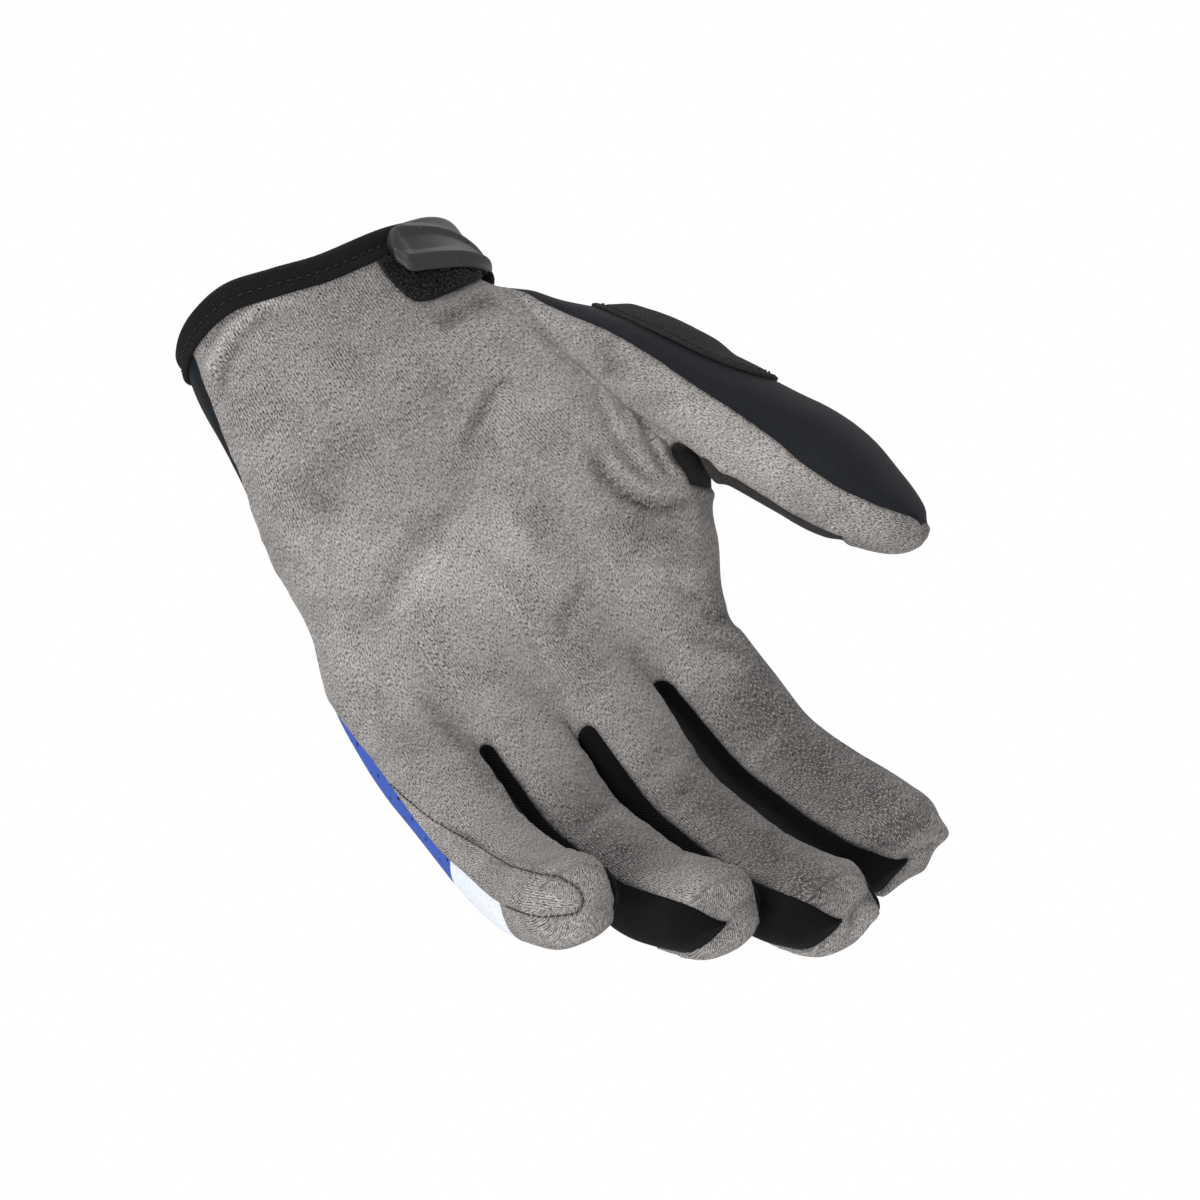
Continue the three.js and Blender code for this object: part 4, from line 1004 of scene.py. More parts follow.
# Making the pieces
def piece_of(name, points, faces, weave=None, look=None):
    """A mesh object from points in mm and faces of up to four corners. A corner repeated within a face is
    dropped. Look holds readings at the points for the material."""
    turn = faces != np.roll(faces, 1, axis=1)
    whole = turn.sum(axis=1) > 2
    faces, turn = faces[whole], turn[whole]
    used, corner = np.unique(faces[turn], return_inverse=True)
    counts = turn.sum(axis=1)
    mesh = bpy.data.meshes.new(name)
    mesh.vertices.add(len(used))
    mesh.vertices.foreach_set("co", (points[used] * MM).astype(np.float32).ravel())
    mesh.loops.add(len(corner))
    mesh.loops.foreach_set("vertex_index", corner.reshape(-1).astype(np.int32))
    mesh.polygons.add(len(counts))
    mesh.polygons.foreach_set("loop_start", np.concatenate(([0], np.cumsum(counts)[:-1])).astype(np.int32))
    mesh.update(calc_edges=True)
    mesh.validate()
    mesh.shade_smooth()
    for key, values in (look or {}).items():
        mesh.attributes.new(key, "FLOAT", "POINT").data.foreach_set("value", values[used].astype(np.float32))
    if weave is not None:
        mesh.uv_layers.new(name="weave").data.foreach_set("uv", weave[whole][turn].astype(np.float32).ravel())
    piece = bpy.data.objects.new(name, mesh)
    bpy.context.scene.collection.objects.link(piece)
    return piece


def finish_piece(piece, material, slot, *nodes):
    """Gives a piece its material and its place in the frame."""
    piece.data.materials.append(material)
    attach(piece, "root")
    if nodes:
        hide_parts(*nodes)
    return piece


def walled(faces, total):
    """Faces of a closed wall: the outer face, the inner one turned round, and the rim between them. Inner
    points follow the outer ones in the same order."""
    rim = open_edges(faces)
    sides = np.stack((rim[:, 1], rim[:, 0], rim[:, 0] + total, rim[:, 1] + total), axis=-1)
    return np.vstack((faces, faces[:, ::-1] + total, sides))


def panel_piece(name, panel, thickness):
    """One panel of the skin with its thickness inwards."""
    skin_data = cloth()
    mine = skin_data["panels"] == PANELS.index(panel)
    used, faces = np.unique(skin_data["faces"][mine], return_inverse=True)
    faces = faces.reshape(-1, 4)
    outer, normals = skin_data["points"][used], skin_data["normals"][used]
    weave = skin_data["weave"][mine]
    by_point = np.zeros((len(used), 2))
    by_point[faces.ravel()] = weave.reshape(-1, 2)
    closed = walled(faces, len(used))
    rim = closed[2 * len(faces):] % len(used)
    look = {key: np.tile(values[used], 2) for key, values in skin_data["look"].items()}
    return piece_of(name, np.vstack((outer, outer - normals * thickness)), closed,
                    np.vstack((weave, weave[:, ::-1], by_point[rim])), look)


def over(place, angle, t, height):
    """Points at a height over a surface. Its direction is the cross product of its slopes down and round
    it."""
    e = 0.05
    round_it = place(angle + e, t) - place(angle - e, t)
    down = place(angle, t + e) - place(angle, t - e)
    return place(angle, t) + unit(np.cross(down, round_it)) * np.asarray(height)[..., None]


def plate(name, place, angle, t, top, bottom, round_pole=False):
    """A plate over a surface between two heights, on a grid of angles and levels. Round a pole, the grid
    closes on itself and its first row is one point."""
    rows, columns = angle.shape
    ids = np.arange(rows * columns).reshape(rows, columns)
    if round_pole:
        ids = np.hstack((ids, ids[:, :1]))
        ids[0] = 0
    faces = cells(ids)
    points = np.vstack([over(place, angle, t, np.broadcast_to(h, angle.shape)).reshape(-1, 3)
                        for h in (top, bottom)])
    grid = points[:rows * columns].reshape(rows, columns, 3)
    across = np.cumsum(np.linalg.norm(np.diff(grid, axis=1, prepend=grid[:, :1]), axis=-1), axis=1)
    weave = np.stack((across, t), axis=-1).reshape(-1, 2)
    closed_faces = walled(faces, rows * columns)
    return piece_of(name, points, closed_faces, weave[closed_faces % (rows * columns)])


def thumb_skin(angle, t):
    """The thumb's back at an angle round the thumb."""
    d = along(THUMB_OUTER_SEAM, t)[1]
    return thumb_rear((angle - d) / (360 + THUMB_BACK["digit"] - d), t)


def little_skin(angle, t):
    """The little finger's face at any angle on its outer side and front."""
    p, d = along(ULNAR_SEAM, t)
    palm, digit = FRONT["little"]["palm"], FRONT["little"]["digit"]
    outer = lerp(p, palm[0], (angle - d) / (digit[0] - d))
    inner = lerp(palm[0], palm[1], (angle - digit[0]) / (digit[1] - digit[0]))
    return gloved("little", np.where(angle < digit[0], outer, inner), angle, t)


def threads(name, paths, normals, radius, sides=6):
    """Short threads, one for each path of a few points: a ring round each point, closed to a point at both
    ends."""
    count, stations, _ = paths.shape
    along_it = unit(np.gradient(paths, axis=1))
    side = unit(np.cross(along_it, normals))
    up = np.cross(side, along_it)
    turn = np.linspace(0, 2 * math.pi, sides, endpoint=False)
    size = radius * np.sqrt(np.sin(math.pi * np.clip(steps(stations - 1), 0, 1)).clip(0))
    ring = ((np.cos(turn)[:, None] * side[:, :, None] + np.sin(turn)[:, None] * up[:, :, None])
            * size[:, None, None])
    points = (paths[:, :, None] + ring).reshape(-1, 3)
    ids = np.arange(count * stations * sides).reshape(count, stations, sides)
    ids[:, 0] = ids[:, 0, :1]
    ids[:, -1] = ids[:, -1, :1]
    ids = np.concatenate((ids, ids[:, :, :1]), axis=2)
    return piece_of(name, points, cells(ids)[:, [0, 3, 2, 1]])


def stitch_paths(line, normals, pitch, share=0.8, lift=0.25):
    """Stitches along a line: each spans a share of the pitch and arches over the cloth by half a sine
    wave."""
    run = run_along(line)
    count = max(1, int(run[-1] / pitch))
    start = np.arange(count) * run[-1] / count
    spots = start[:, None] + steps(6) * pitch * share
    up = unit(read_at(spots, run, normals))
    return read_at(spots, run, line) + up * (lift * (np.sin(math.pi * steps(6)) * 1.5 - 0.5))[:, None], up


# Plates, pad and trim
def thumb_pad():
    """Domed pad on a thin flange: rings of a rounded oval from its middle out. Its height is the flange's
    plus the dome's, which falls off by a smooth step, less a shallow sewn channel and the rounding of its
    rim."""
    form = KNUCKLE
    turn = np.linspace(0, 360, 145)[:-1]
    ring = np.concatenate((np.linspace(0, form["rim"], 34), (0.985, 1.0)))
    a, r = np.meshgrid(turn, ring)
    x, y = oval(a, form["square"])
    t = form["t"] + form["half_length"] * r * y
    angle = form["angle"] + form["half_angle"] * r * x
    spots = np.stack((angle * 0.25, t, 0 * t), axis=-1)
    raised = (np.abs(r * x) ** form["square"]
              + np.abs(r * y * 1.22 + 0.2) ** form["square"]) ** (1 / form["square"])
    channel = 0.3 * bell(r, form["seam"], 0.035)
    rough = 0.1 * seeded(spots, 3.0, 11) * smooth(r / 0.3)
    top = (0.3 + 0.95 * form["flange"] + form["dome"] * (1 - smooth((raised - 0.5) / 0.4)) - channel + rough
           - 0.3 * smooth((r - form["rim"]) / 0.035))
    return plate("thumb_knuckle_pad_cover", thumb_skin, angle, t, top, 0.2 + 0 * r, round_pole=True)


# Overlay, in mm: lowest and full height of its face, thickness, and place, half breadth and depth of its
# sewn groove. Millimetres for each degree round the little finger. Where it sinks into the fingertip, over
# what length and how deep
LAYER = {"low": 0.05, "full": 0.75, "thick": 0.7, "groove": (1.7, 0.5), "groove_depth": 0.3, "degree": 0.17,
         "sinks": (168, 8, 1.1)}


def finger_overlay():
    """Second layer of suede between two edges: full in the middle, drawn down to the cloth at its sewn
    edge."""
    first, last = OVERLAY[0][0], OVERLAY[-1][0]
    u, t = np.meshgrid(eased(36), np.linspace(first, last, 96))
    a, b = along(OVERLAY, t)
    edge = np.minimum(np.minimum(u, 1 - u) * (b - a) * LAYER["degree"], np.minimum(t - first, last - t) * 0.8)
    angle = lerp(a, b, u)
    rough = 0.12 * seeded(little_skin(angle, t), 3.2, 12) * smooth(edge / 2.0)
    start, length, deep = LAYER["sinks"]
    top = (LAYER["low"] + LAYER["full"] * smooth(edge / 1.4)
           - LAYER["groove_depth"] * bell(edge, *LAYER["groove"])
           + rough - deep * smooth((t - start) / length))
    return plate("little_finger_overlay_cloth", little_skin, angle, t, top, top - LAYER["thick"])


# Search for the cloth under a sewing line, in mm: step along the line, reach for the nearest point, half
# breadth and depth of what counts for a place and for its direction, and the height of the thread's middle
# over the cloth
SEARCH = {"step": 0.35, "reach": 1.0, "place": (0.5, 0.6), "direction": (1.5, 2.5), "over": 0.12, "below": 80}


def overlay_line(layer):
    """Points and directions of the overlay's sewing line, where its path meets the cloth or the overlay
    itself: means of the points nearest to the eye, weighted by a bell curve of how far they lie from the
    path."""
    top = np.empty(3 * len(layer.data.vertices))
    layer.data.vertices.foreach_get("co", top)
    points, normals = cloth()["points"], cloth()["normals"]
    here = (normals @ np.array(VIEW["back"]) > 0.1) & (points[:, 2] < -SEARCH["below"])
    points, normals = points[here], normals[here]
    both = np.vstack((points, top.reshape(-1, 3) / MM))
    path = np.array(OVERLAY_SEAM)
    run = run_along(path)
    path = read_at(np.arange(0, run[-1], SEARCH["step"]), run, path)
    away = np.linalg.norm(path[:, None] - pictured(both), axis=-1)
    height = both @ np.array(VIEW["back"])
    nearest = np.where(away < SEARCH["reach"], height, -np.inf).max(axis=1, keepdims=True)
    half, deep = SEARCH["place"]
    share = bell(away, 0, half) * (height > nearest - deep)
    base = share @ both / share.sum(axis=1, keepdims=True)
    for _ in range(4):
        base[1:-1] = (base[:-2] + 2 * base[1:-1] + base[2:]) / 4
    half, deep = SEARCH["direction"]
    up = unit((bell(away[:, :len(points)], 0, half) * (height[:len(points)] > nearest - deep)) @ normals)
    return base + SEARCH["over"] * up, up


# Loop patch, in mm: heights of the backing's underside, edge and face, height where the loops stand, gap
# under the binding, levels between which loops are laid, millimetres for each degree round the wrist, and
# the loops' thread
PILE = {"under": 0.45, "edge": 0.85, "face": 1.5, "foot": 1.35, "gap": 0.4, "levels": (9.0, 24.0),
        "degree": 0.52, "thread": 0.11}


def loop_backing():
    """Woven backing of the loop patch: a plate whose face rounds down to its edge."""
    angle, v = np.meshgrid(np.linspace(LOOP[0][0], LOOP[-1][0], 90), eased(24))
    top = mouth(angle) + CUFF["width"] + PILE["gap"]
    t = lerp(top, along(LOOP, angle)[0], v)
    edge = np.minimum(v, 1 - v) * (along(LOOP, angle)[0] - top)
    face = PILE["edge"] + (PILE["face"] - PILE["edge"]) * np.sqrt(smooth(edge / 0.9))
    return plate("loop_patch_backing", skin, angle, t, face, PILE["under"] + 0 * t)


def loop_pile():
    """Pile of short loops: half rings of thread, each turned its own way, on a staggered grid over the
    backing."""
    trim = bpy.context.scene.glove_trim
    pitch, size = trim.loop_pitch / MM, trim.loop_size / MM
    rng = np.random.default_rng(21)
    first, last, step = LOOP[0][0], LOOP[-1][0], pitch / PILE["degree"]
    angle, t = np.meshgrid(np.arange(first, last, step), np.arange(*PILE["levels"], pitch))
    angle = angle + (np.arange(len(t)) % 2)[:, None] * step / 2 + rng.uniform(-0.5, 0.5, t.shape)
    t = t + rng.uniform(-0.3, 0.3, t.shape)
    inside = ((t > mouth(angle) + CUFF["width"] + PILE["gap"] + 0.1) & (t < along(LOOP, angle)[0] - 0.15)
              & (angle > first) & (angle < last))
    angle, t = angle[inside], t[inside]
    base = over(skin, angle, t, PILE["foot"] + 0 * t)
    normal = unit(over(skin, angle, t, PILE["foot"] + 1.05 + 0 * t) - base)
    up = unit(normal + rng.normal(0, 0.35, base.shape))
    way = unit(np.cross(up, rng.normal(0, 1, base.shape)))
    bend = math.pi * steps(6)
    high = size * rng.uniform(0.8, 1.25, len(base))
    paths = (base[:, None] - way[:, None] * (np.cos(bend) * 0.5 * size)[None, :, None]
             + up[:, None] * (np.sin(bend)[None] * high[:, None])[..., None])
    side = np.broadcast_to(np.cross(way, up)[:, None], paths.shape)
    return threads("loop_patch_pile", paths, side, PILE["thread"], 5)


# Moulding of the tab, in mm: heights of its underside, edge and face, the sloped border's rise, and each
# raised or sunken part. Degrees over which its two ends are rounded, and millimetres for each degree round
# the wrist
TAB_FORM = {"under": 2.25, "edge": 2.3, "face": 2.9, "border": 1.3, "ridge": 0.45, "shoulder": 0.35,
            "crest": 0.4, "dish": -0.35, "bevel": -0.55, "ends": (6, 4), "degree": 0.6}


def rubber_tab():
    """Moulded tab round the wrist's thumb side: a slab with round edges, a sloped lower border with a ridge
    over it, a shoulder at the near end, a crest on the slant, and on either side of the crest a shallow dish
    and a bevel."""
    form = TAB_FORM
    near, far = TAB[0][0], TAB[-1][0] - form["ends"][1]
    angles = np.concatenate((near + form["ends"][0] * (1 - np.cos(math.pi / 2 * steps(14))),
                             np.linspace(near + form["ends"][0] + 0.5, far, 124),
                             far + form["ends"][1] * np.sin(math.pi / 2 * steps(8))[1:]))
    angle, v = np.meshgrid(angles, eased(56))
    top_edge, low_edge = along(TAB, angle)
    t = lerp(top_edge, low_edge, v)
    up, down = (low_edge - top_edge) * v, (low_edge - top_edge) * (1 - v)
    left, right = (angle - angles[0]) * form["degree"] + 0.8, (angles[-1] - angle) * form["degree"]
    slant_line = up - 1.2 - 0.28 * np.maximum(left - 4, 0)
    border = form["border"] * smooth((down - 0.6) / 2.4)
    ridge = form["ridge"] * bell(down, 3.1, 0.75) * smooth(left / 3)
    shoulder = form["shoulder"] * bell(left, 2.6, 1.1) * smooth(down / 3) * smooth(up / 2)
    crest = form["crest"] * bell(slant_line, 0, 0.9) * smooth((left - 3) / 4) * smooth((down - 2.5) / 2)
    dish = (form["dish"] * smooth((slant_line - 0.5) / 1.5) * smooth((down - 3.4) / 1.5)
            * smooth((left - 3) / 2))
    bevel = form["bevel"] * (1 - smooth((slant_line + 1.2) / 1.4)) * smooth((left - 4) / 6)
    height = form["face"] + border + ridge + shoulder + crest + dish + bevel
    edge = np.minimum(np.minimum(up, down), right)
    height = form["edge"] + (height - form["edge"]) * np.sqrt(smooth(edge / 0.9))
    return plate("closure_tab_rubber", skin, angle, t, height, form["under"] + 0 * t)


# Section of the binding: height over the cloth, distance down from the mouth. It starts at the outer lower
# edge, goes over the fold and ends inside.
BINDING = [(0.3, 6.0), (0.75, 6.15), (1.12, 5.9), (1.2, 5.4), (1.12, 4.7), (0.98, 4.1), (0.78, 3.6),
           (0.76, 3.3), (0.98, 2.8), (1.25, 2.1), (1.36, 1.4), (1.32, 0.7), (1.05, 0.1), (0.55, -0.45),
           (-0.1, -0.75), (-0.75, -0.85), (-1.4, -0.75), (-2.0, -0.4), (-2.5, 0.2), (-2.75, 0.9),
           (-2.85, 2.0), (-2.75, 2.8), (-2.55, 3.4), (-2.75, 4.2), (-2.9, 5.0), (-2.7, 5.35), (-2.2, 5.3),
           (-1.75, 4.8), (-1.7, 2.6), (-1.6, 1.2), (-1.1, 0.35), (-0.6, 0.15), (0.0, 0.5), (0.3, 1.4),
           (0.3, 3.6)]
# Which points of that section face outwards and which inwards; the rest lie between the tape and the cloth
BINDING_SIDES = [1.0] * 15 + [-1.0] * 10 + [0.0] * 10
# The binding's two rows of sewing: height over the cloth, distance down from the mouth
BINDING_SEWING = [(0.8, 3.45), (-2.6, 3.4)]


def cuff_angles(count):
    """Angles round the wrist at even distances along the hem, and the distance all the way round."""
    fine = np.linspace(-180, 180, 1441)
    run = run_along(skin(fine, mouth(fine) + CUFF["width"] / 2))
    return np.interp(np.arange(count) / count * run[-1], run, fine), run[-1]


def cuff_tape():
    """Elastic tape folded over the hem: its section carried round the wrist, with a cosine rib across it."""
    trim = bpy.context.scene.glove_trim
    across_rib = 5
    ribs = round(cuff_angles(8)[1] / (trim.rib_pitch / MM))
    angles, _ = cuff_angles(ribs * across_rib)
    height, down = np.array(BINDING).T
    angle, h = np.meshgrid(angles, height)
    rib = trim.rib_height / MM * np.cos(2 * math.pi * np.arange(len(angles)) / across_rib)
    swell = 0.12 * seeded(skin(angle, CUFF["width"] / 2 + 0 * angle), 9.0, 14)
    out = np.array(BINDING_SIDES)[:, None]
    points = over(skin, angle, mouth(angle) + down[:, None], h + out * (rib + swell))
    ids = np.pad(np.arange(angle.size).reshape(angle.shape), ((0, 1), (0, 1)), mode="wrap")
    return piece_of("cuff_binding_tape", points.reshape(-1, 3), cells(ids)[:, [0, 3, 2, 1]])


def cuff_lines():
    """Sewing lines of the binding, outside and inside: points and their directions."""
    angle, _ = cuff_angles(720)
    angle = wrapped(np.append(angle, angle[0] + 360))
    for height, down in BINDING_SEWING:
        base = over(skin, angle, mouth(angle) + down, height + 0 * angle)
        up = unit(over(skin, angle, mouth(angle) + down, height + np.sign(height) + 0 * angle) - base)
        yield base, up


def pad_line():
    """Sewing line of the thumb pad's flange: points on its rounded oval and their directions."""
    x, y = oval(np.linspace(0, 360, 240), KNUCKLE["square"])
    angle = KNUCKLE["angle"] + KNUCKLE["half_angle"] * KNUCKLE["seam"] * x
    t = KNUCKLE["t"] + KNUCKLE["half_length"] * KNUCKLE["seam"] * y
    base = over(thumb_skin, angle, t, 1.0 + 0 * t)
    return base, unit(over(thumb_skin, angle, t, 2.0 + 0 * t) - base)


# Materials. Looks of the print and the specks that the panel leaves alone, as sRGB codes
PRINT_SHADE, HOLE_SHADE, DUST, SHEEN, WHITE = "272d45", "0d121d", "b8b8b8", "dedcda", "ffffff"
# The wave node repeats every 0.31416 at scale 1
WAVE = 0.31416
# Distance between the rows of punched holes, in mm
HOLE_PITCH = 4.2


def linear(code):
    """Linear colour of an sRGB hex code."""
    share = [int(code[k:k + 2], 16) / 255 for k in (0, 2, 4)]
    return tuple(c / 12.92 if c <= 0.04045 else ((c + 0.055) / 1.055) ** 2.4 for c in share)


def tone(colour, share=1.0):
    """A colour, or a darker share of it, with full opacity."""
    return (*(c * share for c in colour), 1.0)


def put(tree, kind, *values, out=0, **settings):
    """Adds a shader node and gives one of its outputs. Values are its inputs in order, or a table of them by
    name or number: fixed values, or outputs of other nodes. Settings are the node's own fields."""
    node = tree.nodes.new("ShaderNode" + kind)
    for field, value in settings.items():
        setattr(node, field, value)
    inputs = values[0] if values and isinstance(values[0], dict) else dict(enumerate(values))
    for key, value in inputs.items():
        if isinstance(value, bpy.types.NodeSocket):
            tree.links.new(value, node.inputs[key])
        else:
            node.inputs[key].default_value = value
    return node.outputs[out] if node.outputs else None


def fabric(name, weave=False):
    """New material, the means to add its nodes, and the place on the piece in mm: in the object or along the
    cloth."""
    material = bpy.data.materials.new(name)
    material.use_nodes = True
    material.node_tree.nodes.clear()
    add = functools.partial(put, material.node_tree)
    if weave:
        return material, add, add("UVMap", uv_map="weave")
    return material, add, add("Mapping", {0: add("TexCoord", out="Object"), "Scale": (1 / MM,) * 3})


def mottled(add, place, size, detail=2.0, roughness=0.5, stretch=(1, 1, 1)):
    """Mottling with features about size mm across, drawn out along an axis where stretch is more than 1."""
    scaled = add("Mapping", {0: place, "Scale": tuple(1 / (size * k) for k in stretch)})
    return add("TexNoise", {"Vector": scaled, "Scale": 1.0, "Detail": detail, "Roughness": roughness})


def summed(add, *terms):
    """Weighted sum: each term is a value, what counts as its zero, and its weight."""
    out = 0.0
    for value, middle, weight in terms:
        out = add("Math", add("Math", value, middle, operation="SUBTRACT"), weight, out,
                  operation="MULTIPLY_ADD")
    return out


def product(add, *values):
    """The values multiplied together."""
    return functools.reduce(lambda a, b: add("Math", a, b, operation="MULTIPLY"), values)


def layered(add, ground, *layers):
    """Colours laid over one another, each with the share of it that shows."""
    for share, colour in layers:
        ground = add("Mix", {0: share, 6: ground, 7: colour}, data_type="RGBA", out=2)
    return ground


def finish_cloth(material, add, colour, height, depth, roughness, specular, sheen=0.0, tint=WHITE):
    """Shader of a cloth: colour, bump from a height of the given depth in mm, and fixed values on its
    sockets."""
    bump = add("Bump", {"Strength": 1.0, "Distance": depth * MM, "Height": height})
    add("OutputMaterial", add("BsdfPrincipled", {
        "Base Color": colour, "Normal": bump, "Roughness": roughness, "Specular IOR Level": specular,
        "Sheen Weight": sheen, "Sheen Roughness": 0.45, "Sheen Tint": tone(linear(tint))}))
    return material


def suede(name, base, dark, light, rub=1.0, turn=0.0):
    """Brushed microsuede, a knit whose face is raised and sheared. Short hairs catch the light over dark
    pits, and the rows of the knit show through on the wrist, on the fingers and in patches on the palm. The
    nap lies in clouds. Over them lie painted light and shade: painted highlights on the ridges of creases and
    gathers and painted shade in their hollows, strokes of painted highlight and painted shade, partly
    brushing of the nap, and painted shade along the seams. Hairs, pits and rows are two to three times
    coarser than real, so that they show."""
    material, add, place = fabric(name)
    weave = add("Mapping", {0: add("UVMap", uv_map="weave"), "Rotation": (0, 0, turn)})
    level = add("SeparateXYZ", weave, out=1)
    finger = add("MapRange", level, 104.0, 124.0)
    wrist = add("MapRange", level, 60.0, 0.0)
    pits = add("MapRange", mottled(add, weave, 0.24, 2.0, 0.6, (1, 3.0, 1)), 0.5, 0.4)
    hairs = add("MapRange", mottled(add, weave, 0.28, 2.0, 0.6, (1, 2.8, 1)), 0.5, 0.62)
    on_palm, on_finger = (
        add("TexWave", {"Vector": weave, "Scale": WAVE / pitch, "Distortion": 1.2, "Detail": 1.0},
            bands_direction="X", out="Fac") for pitch in (0.7, 0.55))
    rows = add("Mix", {0: finger, 2: on_palm, 3: on_finger})
    patches = add("MapRange", mottled(add, place, 13.0), 0.5, 0.62)
    drawn = summed(add, (wrist, -0.3, 0.24), (finger, 0.0, 0.2), (patches, 0.0, 0.2))
    furrow = summed(add, (pits, 0.0, 0.75), (product(add, rows, drawn), 0.0, 1.4))
    # fold paints highlights on crease ridges and shade in their hollows; brushed carries strokes of painted
    # light and shade, partly brushing of the nap; seam paints shade along the seams
    fold, brushed, seam = (add("Attribute", attribute_name=key, out="Fac") for key in ("fold", "nap", "seam"))
    nap = summed(add, (mottled(add, place, 22.0, 3.0, 0.55), 0.5, 0.5 * rub),
                 (mottled(add, place, 6.0, 3.0, 0.6), 0.5, 0.45 * rub),
                 (mottled(add, place, 1.8, 2.0, 0.6), 0.5, 0.4),
                 (fold, 0.0, 0.2 * rub), (brushed, 0.0, 0.3 * rub), (seam, 0.0, -0.2))
    share = summed(add, (nap, -0.5, 1.0))
    colour = layered(add, tone(dark), (add("MapRange", share, 0.0, 0.5), tone(base)),
                     (add("MapRange", share, 0.5, 1.0), tone(light)), (furrow, tone(dark, 0.6)),
                     (product(add, hairs, 0.6), tone(light)))
    height = summed(add, (hairs, 0.0, 0.6), (furrow, 0.0, -1.2))
    return finish_cloth(material, add, colour, height, 0.22, 0.95, 0.2, 0.15, SHEEN)


def plain_cloth(name, base, yarn, pitch, turn, depth):
    """Fine stretch weave of matt nylon: two sets of yarns cross, turned on the bias in the thumb's cloth.
    The yarns are drawn as coarse as they need to show."""
    material, add, place = fabric(name)
    turned = add("Mapping", {0: place, "Rotation": (0, math.radians(turn), 0)})
    twill, cross = (add("TexWave", {"Vector": turned, "Scale": WAVE / size, "Distortion": 0.6, "Detail": 1.0,
                                    "Detail Scale": 2.0}, bands_direction=axis, out="Fac")
                    for size, axis in ((pitch, "X"), (pitch * 1.4, "Z")))
    fleck = mottled(add, place, 0.5, 2.0, 0.6)
    cloud = mottled(add, place, 16.0)
    weave = product(add, twill, add("MapRange", cross, 0.0, 1.0, 0.55, 1.0))
    lit = product(add, weave, add("MapRange", fleck, 0.3, 0.7, 0.3, 1.0))
    colour = layered(add, tone(base), (lit, tone(yarn)),
                     (add("MapRange", cloud, 0.35, 0.65, 0.0, 0.35), tone(base, 0.7)))
    return finish_cloth(material, add, colour,
                        summed(add, (weave, 0.0, 1.0), (fleck, 0.0, 0.4)), depth, 0.85, 0.2, 0.05)


def ribbed(name, base, ridge, pitch, slope, depth):
    """Rib knit of dull nylon: fine ridges across the strip, on a slope, with darker furrows between them.
    The pitch is drawn coarser than the real half millimetre so that the ridges show."""
    material, add, place = fabric(name, weave=True)
    turned = add("Mapping", {0: place, "Rotation": (0, 0, slope)})
    rib = add("TexWave", {"Vector": turned, "Scale": WAVE / pitch, "Distortion": 0.35, "Detail": 1.0},
              bands_direction="Y", out="Fac")
    fleck = mottled(add, place, 0.45, 2.0, 0.6)
    lit = product(add, rib, add("MapRange", fleck, 0.25, 0.65, 0.35, 1.0))
    return finish_cloth(material, add, layered(add, tone(base), (lit, tone(ridge))),
                        summed(add, (rib, 0.0, 1.0), (fleck, 0.0, 0.25)), depth, 0.85, 0.15, 0.02)


def printed_knit(name, colours):
    """Stretch knit with a sublimated print: black at the wrist, one colour over the hand, white finger ends,
    all matt. The edges of the print run on the slant, and small holes are punched in rows through the
    coloured part."""
    material, add, place = fabric(name, weave=True)
    ripple = product(add, mottled(add, place, 0.6), 0.3)
    level = summed(add, (add("SeparateXYZ", place, out=1), 0.0, 1.0), (add("SeparateXYZ", place), 0.0, -0.22),
                   (ripple, 0.0, 1.0))
    above = add("MapRange", level, 60.0, 60.5)
    beyond = add("MapRange", level, 156.0, 156.4)
    grain = mottled(add, place, 0.45, 2.0, 0.6, (1, 2.2, 1))
    cloud = add("MapRange", mottled(add, place, 12.0), 0.35, 0.7, 0.0, 0.25)
    black, blue, shade, white = (tone(colours["back_" + key]) for key in ("black", "blue", "shade", "white"))
    colour = add("Mix", {0: cloud, 6: layered(add, black, (above, blue)), 7: shade}, data_type="RGBA",
                 blend_type="MULTIPLY", out=2)
    holes = add("Mapping", {0: place, "Rotation": (0, 0, math.radians(45)), "Scale": (1 / HOLE_PITCH,) * 3})
    dots = add("TexVoronoi", {"Vector": holes, "Scale": 1.0, "Randomness": 0.0}, voronoi_dimensions="2D",
               out="Distance")
    coloured = add("Math", 1.0, beyond, operation="SUBTRACT")
    punched = product(add, add("MapRange", dots, 0.1, 0.075), product(add, above, coloured))
    colour = layered(add, colour, (beyond, white),
                     (add("MapRange", grain, 0.45, 0.3, 0.0, 0.35), tone(linear(PRINT_SHADE))),
                     (punched, tone(linear(HOLE_SHADE))))
    height = summed(add, (grain, 0.0, 0.3), (punched, 0.0, -1.0))
    return finish_cloth(material, add, colour, height, 0.3, 0.85, 0.2, 0.03)


def plastic(name, base, worn, grain, depth, roughness, dust=0.0):
    """Moulded rubber or spun polyester, dull to half matt: one colour with a fine grain, a second colour laid
    in clouds, which is paler wear on the rubber and painted highlight on the loops of the pile, and a few
    specks of dust."""
    material, add, place = fabric(name)
    fine = mottled(add, place, grain, 3.0, 0.6)
    cloud = mottled(add, place, 7.0, 3.0)
    specks = mottled(add, place, 0.4, 0.0)
    # worn is wear on the rubber and painted highlight on the loops of the pile
    colour = layered(add, tone(base), (add("MapRange", cloud, 0.4, 0.7, 0.0, 0.6), tone(worn)),
                     (add("MapRange", specks, 0.8, 0.83, 0.0, dust), tone(linear(DUST))))
    return finish_cloth(material, add, colour, fine, depth, roughness, 0.4)


